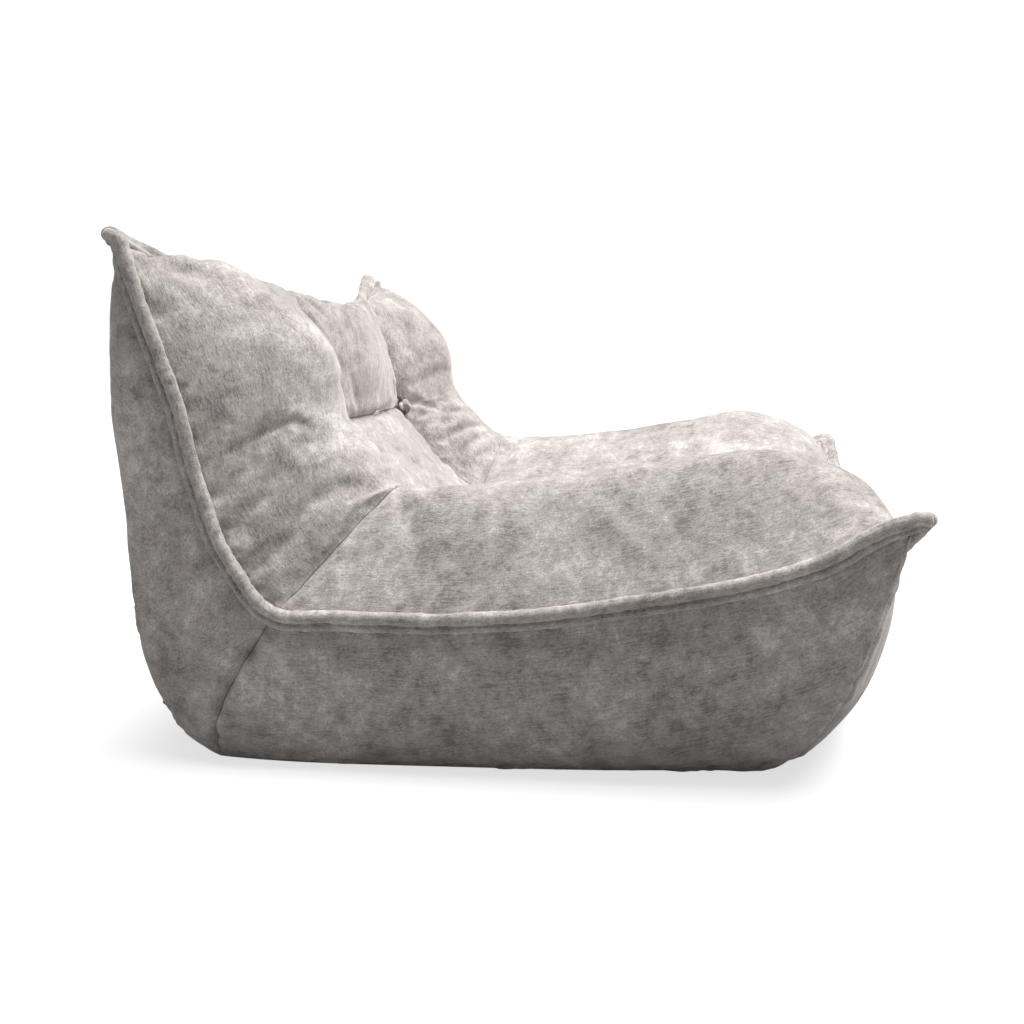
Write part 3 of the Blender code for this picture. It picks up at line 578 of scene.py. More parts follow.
@dataclass
class Puff:
    """A cloth simulation that swells a sheet between its seams."""

    pressure: float = 3.0
    grow: float = 0.016
    cap: float = 0.018
    frames: int = 16
    stiff: float = 12.0
    bend: float = 0.4

    def settle(self, points: Points, pins: Points) -> Points:
        """Runs the cloth on a grid and returns how far each point moved.

        Args:
            points: rows x columns x 3, facing out.
            pins: rows x columns, 1 where the sheet is sewn down.

        Returns:
            The moves, capped.
        """
        rows, columns = points.shape[:2]
        mesh = bpy.data.meshes.new("puff")
        mesh.from_pydata(points.reshape(-1, 3).tolist(), [], grid_faces(rows, columns))
        obj = bpy.data.objects.new("puff", mesh)
        bpy.context.scene.collection.objects.link(obj)
        group = obj.vertex_groups.new(name="sewn")
        group.add(np.nonzero(pins.reshape(-1))[0].tolist(), 1.0, "REPLACE")
        cloth = obj.modifiers.new("cloth", "CLOTH")
        self._set(cloth.settings)
        cloth.point_cache.frame_start = 1
        cloth.point_cache.frame_end = self.frames + 1
        scene = bpy.context.scene
        for frame in range(1, self.frames + 1):
            scene.frame_set(frame)
        result = obj.evaluated_get(bpy.context.evaluated_depsgraph_get()).to_mesh()
        flat_points = np.zeros(len(result.vertices) * 3, np.float32)
        result.vertices.foreach_get("co", flat_points)
        scene.frame_set(1)
        bpy.data.objects.remove(obj, do_unlink=True)
        move = flat_points.reshape(rows, columns, 3) - points
        length = np.linalg.norm(move, axis=2, keepdims=True)
        return move * np.minimum(1.0, self.cap / np.maximum(length, 1e-9))

    def _set(self, s: bpy.types.ClothSettings) -> None:
        """Fills in the cloth's settings."""
        s.quality = 5
        s.mass = 0.3
        s.tension_stiffness = s.compression_stiffness = self.stiff
        s.shear_stiffness = self.stiff / 2
        s.bending_stiffness = self.bend
        s.use_pressure = True
        s.uniform_pressure_force = self.pressure
        s.shrink_min = -self.grow
        s.vertex_group_mass = "sewn"
        s.effector_weights.gravity = 0


@dataclass
class Crease:
    """A line in the cloth: a valley with soft shoulders, deepest at its middle."""

    points: Points
    depth: float
    width: float
    shoulder: float = 0.35

    def lift(self, grid: Points) -> Points:
        """How far the crease moves each point of a grid along its normal.

        Args:
            grid: rows x columns x 3.

        Returns:
            rows x columns.
        """
        run = np.concatenate([[0], np.cumsum(np.linalg.norm(np.diff(self.points, axis=0), axis=1))])
        steps = max(8, int(run[-1] / 0.004))
        at = np.linspace(0, run[-1], steps)
        dense = np.stack([np.interp(at, run, self.points[:, k]) for k in range(3)], axis=1)
        flat = grid.reshape(-1, 3)
        gap, nearest = distances(dense, flat, self.width * 4)
        share = nearest / (steps - 1)
        strength = np.sin(math.pi * np.clip(share, 0, 1)) ** 0.6
        x = gap / self.width
        profile = -np.exp(-x * x) + self.shoulder * np.exp(-(x - 1.9) ** 2)
        return (profile * strength * self.depth).reshape(grid.shape[:2])


def distances(line: Points, points: Points, reach: float) -> tuple[Points, Points]:
    """Distance of each point to a dense line, and the index of the line's nearest point.

    Args:
        line: the line's points.
        points: the points to test.
        reach: beyond this the distance may be larger than it really is.

    Returns:
        Distances and indices.
    """
    low, high = line.min(axis=0) - reach, line.max(axis=0) + reach
    near = np.all((points > low) & (points < high), axis=1)
    gap = np.full(len(points), reach * 4)
    index = np.zeros(len(points))
    if near.any():
        picked = np.nonzero(near)[0]
        for start in range(0, len(picked), 4000):
            chunk = picked[start:start + 4000]
            square = ((points[chunk, None] - line[None]) ** 2).sum(axis=2)
            best = square.argmin(axis=1)
            gap[chunk] = np.sqrt(square[np.arange(len(chunk)), best])
            index[chunk] = best
    return gap, index


def grid_faces(rows: int, columns: int) -> list[tuple[int, int, int, int]]:
    """Faces of a grid of points, in row order."""
    return [(i * columns + j, (i + 1) * columns + j, (i + 1) * columns + j + 1, i * columns + j + 1)
            for i in range(rows - 1) for j in range(columns - 1)]


def soft_noise(points: Points, size: float, seed: int) -> Points:
    """A smooth random field over points, from -1 to 1.

    Args:
        points: any shape x 3.
        size: its wavelength in metres.
        seed: which field.

    Returns:
        The values.
    """
    rng = np.random.default_rng(seed)
    total = np.zeros(points.shape[:-1])
    waves = 14
    for _ in range(waves):
        direction = rng.normal(size=3)
        direction *= 2 * math.pi / size / np.linalg.norm(direction) * rng.uniform(0.6, 1.5)
        total += np.sin(points @ direction + rng.uniform(0, 2 * math.pi))
    return total / math.sqrt(waves) / 1.6


def refined(values: Points) -> Points:
    """The places with one more halfway between each two."""
    return np.sort(np.concatenate([values, (values[1:] + values[:-1]) / 2]))


def with_lips(values: Points, seams: list[float], offsets: list[float]) -> Points:
    """Places with extra ones close beside the seams, so that a seam's lip is round.

    Args:
        values: increasing places.
        seams: the seams' places.
        offsets: how far beside each seam, in the same units.

    Returns:
        All the places.
    """
    extra = [s + sign * o for s in seams for o in offsets for sign in (-1, 1)]
    kept = [e for e in extra if values[0] < e < values[-1] and np.abs(values - e).min() > min(offsets) * 0.3]
    return np.unique(np.concatenate([values, kept]))


def arc_lengths(points: Points, axis: int) -> Points:
    """Length along a grid's lines from their starts."""
    steps = np.linalg.norm(np.diff(points, axis=axis), axis=2)
    start = np.zeros_like(np.take(steps, [0], axis=axis))
    return np.concatenate([start, np.cumsum(steps, axis=axis)], axis=axis)


def ripple(along: Points, away: Points, seed: int, wave: float, reach: float) -> Points:
    """Gathers that run away from a seam and fade.

    Args:
        along: length along the seam.
        away: distance from it.
        seed: which set of gathers.
        wave: their usual spacing.
        reach: how far they run.

    Returns:
        About -1 to 1.
    """
    rng = np.random.default_rng(seed)
    total = np.zeros_like(along)
    for _ in range(9):
        span = wave * rng.uniform(0.7, 2.6)
        slant = rng.uniform(-0.5, 0.5)
        turn = 2 * math.pi * (along + slant * away) / span
        total += np.sin(turn + rng.uniform(0, 6.28)) * (span / wave) ** 0.5
    mask = 0.5 + 0.5 * np.sin(along / wave * 0.8 + rng.uniform(0, 6.28)) * np.sin(along / wave * 0.31 + 1.3)
    return total / 3.6 * np.exp(-(away / reach) ** 1.2) * (0.35 + mask)


def lip(away: Points, depth: float, width: float) -> Points:
    """How deep the cloth rolls in beside a seam: a quarter round that meets the sheet smoothly."""
    x = np.clip(1 - away / width, 0, 1)
    return -depth * (1 - np.sqrt(1 - np.minimum(x, 0.999) ** 2)) - depth * 0.35 * x ** 2


def closed_grid(name: str, outer: Points, inner: Points, uv: Points) -> bpy.types.Object:
    """A closed solid between an outer and an inner grid of points.

    Args:
        name: the piece's name.
        outer: rows x columns x 3, facing out.
        inner: the same, further in.
        uv: rows x columns x 2, lengths along the cloth in metres.

    Returns:
        The new object.
    """
    rows, columns = outer.shape[:2]
    count = rows * columns
    verts = np.concatenate([outer.reshape(-1, 3), inner.reshape(-1, 3)])
    faces = grid_faces(rows, columns)
    faces += [(a + count, d + count, c + count, b + count) for a, b, c, d in faces]
    rim = [i * columns for i in range(rows)]
    rim += [(rows - 1) * columns + j for j in range(1, columns)]
    rim += [i * columns + columns - 1 for i in range(rows - 2, -1, -1)]
    rim += [j for j in range(columns - 2, 0, -1)]
    faces += [(a, a + count, b + count, b) for a, b in zip(rim, rim[1:] + rim[:1])]
    flat = uv.reshape(-1, 2)
    return add_mesh(name, verts, faces, np.concatenate([flat, flat]))


def add_mesh(name: str, verts: Points, faces: list, uv: Points | None = None) -> bpy.types.Object:
    """A smooth-shaded mesh object at the origin.

    Args:
        name: the object's name.
        verts: its points.
        faces: its faces.
        uv: one pair for each point, if it has a UV map.

    Returns:
        The new object.
    """
    mesh = bpy.data.meshes.new(name)
    mesh.from_pydata(np.asarray(verts, float).tolist(), [], faces)
    mesh.polygons.foreach_set("use_smooth", [True] * len(mesh.polygons))
    if uv is not None:
        layer = mesh.uv_layers.new(name="cloth")
        index = np.zeros(len(mesh.loops), np.int32)
        mesh.loops.foreach_get("vertex_index", index)
        layer.data.foreach_set("uv", uv[index].astype(np.float32).reshape(-1))
    mesh.update()
    obj = bpy.data.objects.new(name, mesh)
    bpy.context.scene.collection.objects.link(obj)
    return obj


def hang(piece: bpy.types.Object, finish: bpy.types.Material, nodes: list[str],
         body: str = ROOT) -> None:
    """Dresses a finished piece, hangs it on its body and hides the frame's nodes that it replaces.

    Args:
        piece: the finished object.
        finish: its material.
        nodes: the frame's nodes that it replaces.
        body: the body it moves with.
    """
    piece.data.materials.clear()
    piece.data.materials.append(finish)
    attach(piece, body)
    if nodes:
        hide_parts(*nodes)
    LOG.info("%s: %d points, on %s", piece.name, len(piece.data.vertices), body)


@dataclass
class Sheet:
    """A grid of cloth that is puffed, creased and cut into panels."""

    points: Points
    first: Points
    second: Points

    def normals(self) -> Points:
        """Unit normals, facing out."""
        return normals_of(self.points)

    def lift(self, amount: Points) -> None:
        """Moves each point along its normal."""
        self.points = self.points + self.normals() * amount[..., None]

    def index(self, axis: int, place: float) -> int:
        """The index of the line nearest a place."""
        return int(np.abs((self.first, self.second)[axis] - place).argmin())


@dataclass
class UpperCover:
    """Seat, wings, pillow and lumbar panels over their wadding."""

    form: Form
    cell: float = 0.0115
    wadding: float = 0.012
    lip_depth: float = 0.0075
    lip_width: float = 0.024
    edge_depth: float = 0.004
    gather: float = 0.0016
    swell: float = 0.35
    seat_calm: float = 0.4

    def base(self, rows: Points, across: Points) -> Points:
        """The plain form over rows x places across."""
        return self.form.upper(across, rows).transpose(1, 0, 2)

    def build(self) -> None:
        """Makes the whole upper sheet."""
        f = self.form
        lines = self.base(np.arange(f.last_row + 1.0), np.array([-0.7, 0.0, 0.7]))
        row_lengths = np.linalg.norm(np.diff(lines, axis=0), axis=2).max(axis=1)
        cross = self.base(np.array([1.0, 8.0]), np.array(f.places))
        across_lengths = np.linalg.norm(np.diff(cross, axis=1), axis=2).max(axis=0)
        rows = subdivided(list(range(f.last_row + 1)), list(row_lengths), self.cell)
        across = subdivided(f.places, list(across_lengths), self.cell)
        coarse = self.base(rows, across)
        tuft = f.across[1]
        pins = np.zeros(coarse.shape[:2])
        pins[[0, -1], :] = 1
        pins[:, [0, -1]] = 1
        crook = int(np.abs(rows - f.crook_row).argmin())
        seam = int(np.abs(rows - f.seam_row).argmin())
        middle = np.abs(across) <= tuft + 1e-6
        pins[crook, :] = 1
        pins[seam, middle] = 1
        for side in (-tuft, tuft):
            pins[:crook + 1, int(np.abs(across - side).argmin())] = 1
        move = np.zeros_like(coarse)
        move = Puff().settle(coarse, pins)
        LOG.info("upper sheet settled, moved %.1f mm at most", np.linalg.norm(move, axis=2).max() * 1000)
        rows_fine = with_lips(refined(rows), [f.seam_row, f.crook_row], [0.010, 0.03])
        across_fine = with_lips(refined(across), [-tuft, tuft], [0.0025, 0.007])
        by_row, by_place = weights(list(rows), rows_fine), weights(list(across), across_fine)
        fine_move = np.einsum("ra,sb,abk->rsk", by_row, by_place, move)
        points = self.base(rows_fine, across_fine)
        normal = normals_of(points)
        out = (fine_move * normal).sum(axis=2, keepdims=True)
        smooth = blurred(out[..., 0], 9)[..., None]
        fine_move = fine_move + normal * smooth * (self.swell - 1)
        calm = np.interp(rows_fine, (f.crook_row, f.crook_row + 1.5), (1.0, self.seat_calm))
        self.sheet = Sheet(points + fine_move * calm[:, None, None], rows_fine, across_fine)
        self._detail()

    def _detail(self) -> None:
        """Adds lumps, seams, gathers, creases and the tufts' dimples."""
        s, f = self.sheet, self.form
        along_rows = arc_lengths(s.points, 0)
        along_across = arc_lengths(s.points, 1)
        tuft = f.across[1]
        crook, seam = s.index(0, f.crook_row), s.index(0, f.seam_row)
        left, right = s.index(1, -tuft), s.index(1, tuft)
        far = 9.0
        back = (s.first <= f.crook_row + 1e-6)[:, None]
        inner = (np.abs(s.second) <= tuft + 1e-6)[None, :]
        to_crook = np.abs(along_rows - along_rows[crook])
        to_seam = np.where(inner, np.abs(along_rows - along_rows[seam]), far)
        to_side = np.minimum(np.abs(along_across - along_across[:, [left]]),
                             np.abs(along_across - along_across[:, [right]]))
        to_side = np.where(back, to_side, far)
        edge_side = np.minimum(along_across, along_across[:, [-1]] - along_across)
        edge_end = np.minimum(along_rows, along_rows[[-1]] - along_rows)
        lump = soft_noise(s.points, 0.30, 3) * 0.0030 + soft_noise(s.points, 0.11, 5) * 0.0006
        fade = np.clip(np.minimum(edge_side, edge_end) / 0.06, 0, 1)
        s.lift(lump * fade)
        place = np.abs(s.second)[None, :]
        row = s.first[:, None]
        s.lift(0.017 * np.exp(-((place - 0.88) / 0.10) ** 2 - ((row - 0.45) / 0.40) ** 2)
               - 0.008 * np.exp(-((place - 0.69) / 0.12) ** 2 - ((row - 1.0) / 0.7) ** 2)
               + 0.010 * np.exp(-((place - 0.62) / 0.16) ** 2 - ((row - 3.6) / 0.7) ** 2))
        shallow = np.interp(place, (0.45, 0.72), (1.0, 0.30))
        s.lift(lip(to_crook, self.lip_depth, 0.015) * shallow)
        s.lift(lip(to_seam, self.lip_depth, self.lip_width))
        down_side = np.interp(row, (0.0, 1.2, 3.0, 3.8), (0.1, 0.22, 1, 0.7))
        s.lift(lip(to_side, self.lip_depth, self.lip_width) * down_side)
        s.lift(lip(np.minimum(edge_side, edge_end), self.edge_depth, 0.014))
        rows_at = s.first[:, None]
        near_crook = np.exp(-((rows_at - 4.0) / 1.3) ** 2)
        gathers = ripple(along_rows, edge_side, 11, 0.026, 0.030) * self.gather * (0.75 + 1.5 * near_crook)
        gathers += ripple(along_across, edge_end, 12, 0.030, 0.035) * self.gather
        gathers += ripple(along_across, to_crook, 13, 0.040, 0.030) * self.gather * 0.55
        gathers += ripple(along_across, to_seam, 14, 0.028, 0.026) * self.gather * 0.7
        gathers += ripple(along_rows, to_side, 15, 0.034, 0.028) * self.gather * 0.6
        s.lift(gathers)
        self._tufts()
        for crease in self.creases():
            s.lift(crease.lift(s.points))

    def _tufts(self) -> None:
        """Pulls the sheet in at the two buttons, with creases that run out from them."""
        s, f = self.sheet, self.form
        for sign in (-1, 1):
            centre = s.points[s.index(0, f.seam_row), s.index(1, sign * f.across[1])]
            gap = np.linalg.norm(s.points - centre, axis=2)
            s.lift(-0.009 * np.exp(-(gap / 0.030) ** 2))
            aside = s.points - centre
            angle = np.arctan2(aside[..., 2], aside[..., 0] * sign)
            rays = np.cos(angle * 5 + 0.8 * sign) * 0.6 + np.cos(angle * 8 + 1.9) * 0.4
            near = np.exp(-gap / 0.045) * (1 - np.exp(-(gap / 0.014) ** 2))
            s.lift(rays * near * 0.0030)

    def creases(self) -> list[Crease]:
        """The folds in the upper sheet, by their places on it.

        Returns:
            The creases of both sides.
        """
        folds = (
            # (place across, row) along each fold, its depth and its width in millimetres
            (((0.44, 3.34), (0.50, 3.40), (0.58, 3.55), (0.70, 3.90)), 4.5, 8),
            (((0.42, 3.95), (0.50, 3.95), (0.60, 4.10), (0.72, 4.40)), 6.0, 8),
            (((0.43, 4.45), (0.50, 4.42), (0.60, 4.52), (0.74, 4.72)), 5.0, 8),
            (((0.41, 2.70), (0.52, 2.52), (0.62, 2.50), (0.72, 2.62)), 3.0, 10),
            (((0.86, 3.40), (0.91, 3.55), (0.96, 3.80)), 2.6, 9),
            (((0.82, 4.15), (0.88, 4.20), (0.95, 4.40)), 2.6, 9),
            (((0.93, 0.30), (0.88, 0.75), (0.82, 1.20)), 4.0, 12),
            (((0.86, 0.12), (0.80, 0.55), (0.77, 1.05)), 3.4, 12),
            (((0.76, 0.10), (0.72, 0.45), (0.71, 0.80)), 2.8, 11),
            (((0.44, 5.30), (0.52, 5.22), (0.62, 5.30), (0.70, 5.45)), 3.5, 14),
            (((0.90, 10.2), (0.82, 10.0), (0.74, 9.75)), 4.0, 14),
            (((0.95, 9.55), (0.88, 9.35), (0.82, 9.25)), 2.6, 11),
            (((0.97, 10.6), (0.90, 10.65), (0.82, 10.5)), 3.0, 10),
        )
        result = []
        for sign, share in ((-1, 1.0), (1, 0.85)):
            for number, (line, depth, width) in enumerate(folds):
                shift = 0.0 if sign < 0 else 0.05 * math.sin(number * 2.3)
                places = np.array(line) + (0, shift)
                along = np.linspace(0, len(line) - 1, 12)
                dense = weights(list(range(len(line))), along) @ places
                near = [self._on_sheet(a * sign, r) for a, r in dense]
                result.append(Crease(np.array(near), depth / 1000 * share, width / 1000))
        for line, depth, width in ((((-0.30, 5.16), (-0.1, 5.30), (0.12, 5.28), (0.30, 5.14)), 3.0, 16),
                                   (((-0.2, 4.35), (-0.05, 4.15), (0.1, 4.20)), 2.2, 14),
                                   (((-0.28, 2.6), (-0.12, 2.72), (0.08, 2.62)), 2.0, 14),
                                   (((-0.22, 0.5), (-0.2, 0.9), (-0.24, 1.4)), 2.0, 16)):
            dense = weights(list(range(len(line))), np.linspace(0, len(line) - 1, 14)) @ np.array(line)
            points = np.array([self._on_sheet(a, r) for a, r in dense])
            result.append(Crease(points, depth / 1000, width / 1000))
        return result

    def _on_sheet(self, across: float, row: float) -> Points:
        """The sheet's present point nearest a place."""
        s = self.sheet
        i = np.interp(row, s.first, range(len(s.first)))
        j = np.interp(across, s.second, range(len(s.second)))
        a, b = int(i), int(j)
        a, b = min(a, len(s.first) - 2), min(b, len(s.second) - 2)
        p, q = i - a, j - b
        g = s.points
        return (g[a, b] * (1 - p) * (1 - q) + g[a + 1, b] * p * (1 - q)
                + g[a, b + 1] * (1 - p) * q + g[a + 1, b + 1] * p * q)

    def dress(self, finish: bpy.types.Material) -> None:
        """Cuts the sheet into its panels and hands them in."""
        f = self.form
        tuft, last = f.across[1], f.last_row
        cuts = (
            (Panel.PILLOW, 0, f.seam_row, -tuft, tuft, "pillow_pad", 0.75),
            (Panel.LUMBAR, f.seam_row, f.crook_row, -tuft, tuft, "lumbar_pad", 0.65),
            (Panel.WING_RIGHT, 0, f.crook_row, -1, -tuft, "wing_pad_right", 0.7),
            (Panel.WING_LEFT, 0, f.crook_row, tuft, 1, "wing_pad_left", 0.7),
            (Panel.SEAT, f.crook_row, last, -1, 1, "seat_pad", 0.65),
        )
        s = self.sheet
        normal = s.normals()
        lengths = np.stack([arc_lengths(s.points, 0), arc_lengths(s.points, 1)], axis=2)
        for number, (panel, top, bottom, start, end, pad, fill) in enumerate(cuts):
            i = slice(s.index(0, top), s.index(0, bottom) + 1)
            j = slice(s.index(1, start), s.index(1, end) + 1)
            outer = drawn_in(s.points[i, j], 0.0005)
            rows, columns = outer.shape[:2]
            rim = np.minimum.outer(np.minimum(np.arange(rows), np.arange(rows)[::-1]),
                                   np.minimum(np.arange(columns), np.arange(columns)[::-1]))
            thick = 0.0015 + (self.wadding - 0.0015) * np.clip(rim / 7, 0, 1)
            inner = outer - normal[i, j] * thick[..., None]
            piece = closed_grid(panel.value.replace("_panel", "_cushion"), outer, inner,
                                lengths[i, j] + number * 3.7)
            hang(piece, finish, [panel.value, pad])


def drawn_in(points: Points, gap: float) -> Points:
    """A grid with its outermost points moved in along the cloth, to leave a gap at the seams."""
    p = points.copy()
    for axis in (0, 1):
        for edge, inner in ((0, 1), (-1, -2)):
            at = [slice(None)] * 2
            to = [slice(None)] * 2
            at[axis], to[axis] = edge, inner
            step = points[tuple(to)] - points[tuple(at)]
            length = np.maximum(np.linalg.norm(step, axis=1, keepdims=True), 1e-9)
            p[tuple(at)] += step / length * np.minimum(gap, length * 0.6)
    return p


def blurred(values: Points, reach: int) -> Points:
    """Values smoothed over a grid, the same at its edges."""
    kernel = np.hanning(2 * reach + 3)[1:-1]
    kernel /= kernel.sum()
    result = values
    for axis in (0, 1):
        widths = [(0, 0), (0, 0)]
        widths[axis] = (reach, reach)
        padded = np.pad(result, widths, mode="edge")
        result = np.apply_along_axis(lambda line: np.convolve(line, kernel, mode="valid"), axis, padded)
    return result


@dataclass
class LowerCover:
    """The rear shell, sides and front that hang from the flange, and the base under them."""

    form: Form
    cell: float = 0.014
    cloth: float = 0.002
    lip_depth: float = 0.0045
    lip_width: float = 0.015
    gather: float = 0.0016
    zip_half: float = 0.256
    zip_opening: float = 0.011
    swell: float = 0.25
    rim_rows: int = 6

    def build(self) -> None:
        """Makes the shell's sheet, which starts and ends at the left crook."""
        f = self.form
        self.start, self.end = float(f.crook_row), float(f.crook_row + f.around)
        knots = np.arange(self.start, self.end + 0.5)
        ring = f.lower(knots, np.full((len(knots), 1), 0.45))[:, 0]
        top = f.flange(knots)
        lengths = np.maximum(np.linalg.norm(np.diff(ring, axis=0), axis=1),
                             np.linalg.norm(np.diff(top, axis=0), axis=1))
        around = subdivided(list(knots), list(lengths), self.cell)
        down = np.linspace(0, 1, 41)
        coarse = self.base(around, down)
        pins = np.zeros(coarse.shape[:2])
        pins[:, [0, -1]] = 1
        self.seams = [self.start, float(f.last_row), float(f.right_start), float(f.top_start - f.crook_row),
                      self.end]
        for place in self.seams:
            pins[int(np.abs(around - place).argmin())] = 1
        move = np.zeros_like(coarse)
        move = Puff(pressure=2.0, grow=0.008, cap=0.010).settle(coarse, pins)
        LOG.info("shell settled, moved %.1f mm at most", np.linalg.norm(move, axis=2).max() * 1000)
        fine_around = with_lips(refined(around), self.seams, [0.012, 0.035])
        fine_down = np.linspace(0, 1, 91)
        by_place, by_down = weights(list(around), fine_around), weights(list(down), fine_down)
        fine_move = np.einsum("ra,sb,abk->rsk", by_place, by_down, move)
        points = self.base(fine_around, fine_down)
        normal = normals_of(points)
        out = (fine_move * normal).sum(axis=2)
        fine_move = fine_move + normal * blurred(out, 9)[..., None] * (self.swell - 1)
        self.sheet = Sheet(points + fine_move, fine_around, fine_down)
        self._detail()

    def base(self, around: Points, share: Points) -> Points:
        """The plain shell over places round it and shares of the way to the hem."""
        hems = np.array([self.form.hem(a % self.form.around) for a in around])
        return self.form.lower(around, hems[:, None] * share[None, :])

    def _detail(self) -> None:
        """Adds lumps, seams, gathers under the flange and the shell's creases."""
        s, f = self.sheet, self.form
        along = arc_lengths(s.points, 0)
        down = arc_lengths(s.points, 1)
        to_seam = np.min([np.abs(along - along[s.index(0, p)]) for p in self.seams], axis=0)
        fade = np.clip(np.minimum(down, down[:, [-1]] - down) / 0.05, 0, 1)
        lump = soft_noise(s.points, 0.34, 21) * 0.0034 + soft_noise(s.points, 0.13, 22) * 0.0013
        s.lift(lump * fade)
        s.lift(lip(to_seam, self.lip_depth, self.lip_width))
        s.lift(ripple(along, down, 23, 0.036, 0.050) * self.gather * 1.2)
        to_hem = down[:, [-1]] - down
        s.lift(ripple(along, to_hem, 24, 0.045, 0.035) * self.gather * np.clip(down / 0.1, 0, 1))
        s.lift(ripple(down, to_seam, 25, 0.032, 0.030) * self.gather * 0.9)
        # faint upright wrinkles on the sides
        wave = np.sin(along / 0.034 + 2.0 * soft_noise(s.points * (1, 1, 0.3), 0.3, 26))
        patch = np.clip(soft_noise(s.points * (1, 1, 0.5), 0.35, 27), 0, 1)
        s.lift(wave * patch * 0.0013 * fade)
        for crease in self.creases():
            s.lift(crease.lift(s.points))

    def creases(self) -> list[Crease]:
        """The folds in the shell, by their places round it and down it.

        Returns:
            The creases.
        """
        f = self.form
        folds = (
            (((28.6, 0.10), (28.9, 0.22), (29.3, 0.30)), 4.5, 14),
            (((27.9, 0.14), (28.2, 0.24), (28.8, 0.33)), 4.0, 13),
            (((27.2, 0.12), (27.4, 0.22), (27.8, 0.30)), 3.4, 12),
            (((26.3, 0.15), (26.4, 0.30), (26.6, 0.42)), 3.0, 12),
            (((21.4, 0.25), (21.5, 0.45), (21.45, 0.70)), 2.6, 13),
            (((21.9, 0.35), (21.95, 0.52), (22.1, 0.72)), 2.2, 12),
            (((20.6, 0.08), (20.9, 0.25), (20.95, 0.45)), 2.4, 12),
            (((23.2, 0.06), (23.1, 0.20), (22.9, 0.34)), 2.0, 12),
            (((18.3, 0.06), (18.2, 0.22), (18.4, 0.40)), 3.4, 13),
            (((17.2, 0.05), (17.0, 0.20), (17.1, 0.33)), 2.6, 12),
            (((32.2, 0.08), (32.0, 0.22), (32.2, 0.42)), 3.0, 15),
            (((34.5, 0.06), (34.3, 0.18), (34.4, 0.30)), 2.6, 14),
            (((33.4, 0.75), (33.5, 0.88), (33.3, 0.97)), 2.6, 14),
        )
        result = []
        for line, depth, width in folds:
            for mirror in (False, True):
                places = np.array(line, float)
                if mirror:
                    places[:, 0] = 2 * (f.top_start + f.around) / 2 - places[:, 0] + 0.13
                turned = (places[:, 0] - self.start) % f.around + self.start
                dense = weights(list(range(len(line))), np.linspace(0, len(line) - 1, 12)) @ np.stack(
                    [turned, places[:, 1]], axis=1)
                points = np.array([self.base(np.array([a]), np.array([d]))[0, 0] for a, d in dense])
                result.append(Crease(points, depth / 1000 * (0.8 if mirror else 1.0), width / 1000))
        return result

    def _edge(self, points: Points) -> Points:
        """From the zip's middle line to the cloth's edge, for points on the hem."""
        return np.interp(np.abs(points[:, 0]), (self.zip_half, self.zip_half + 3 * self.zip_opening),
                         (self.zip_opening, 0.0004))

    def dress(self, finish: bpy.types.Material, base_finish: bpy.types.Material) -> None:
        """Cuts the shell into its panels and hands them in.

        Args:
            finish: the chenille.
            base_finish: the base's cloth.
        """
        s, f = self.sheet, self.form
        crook, far_crook = float(f.crook_row), float(f.top_start - f.crook_row)
        normal = s.normals()
        lengths = np.stack([arc_lengths(s.points, 0), arc_lengths(s.points, 1)], axis=2)
        hem_line = s.points[:, -1].copy()
        hem_normal = normal[:, -1].copy()
        cuts = ((Panel.SIDE_LEFT, crook, f.last_row), (Panel.FRONT, f.last_row, f.right_start),
                (Panel.SIDE_RIGHT, f.right_start, far_crook), (Panel.REAR, far_crook, self.end))
        for number, (panel, start, end) in enumerate(cuts):
            i = slice(s.index(0, start), s.index(0, end) + 1)
            outer = drawn_in(s.points[i], 0.0005)
            if panel is Panel.REAR:
                outer = self._opened(outer)
            inner = outer - normal[i] * self.cloth
            threads = lengths[i, :, ::-1] if panel is Panel.REAR else lengths[i]
            piece = closed_grid(panel.value.replace("_panel", "_cover"), outer, inner,
                                threads + 5.1 * number + 11)
            hang(piece, finish, [panel.value])
        self._base(hem_line, hem_normal, base_finish)

    def _opened(self, points: Points) -> Points:
        """The rear panel with its hem drawn back from the zip."""
        hem = points[:, -1]
        gap = self._edge(hem)
        lengths = arc_lengths(points, 1)
        total = lengths[:, -1]
        result = points.copy()
        for k in range(len(points)):
            places = lengths[k] * (1 - gap[k] / total[k])
            for axis in range(3):
                result[k, :, axis] = np.interp(places, lengths[k], points[k, :, axis])
        return result

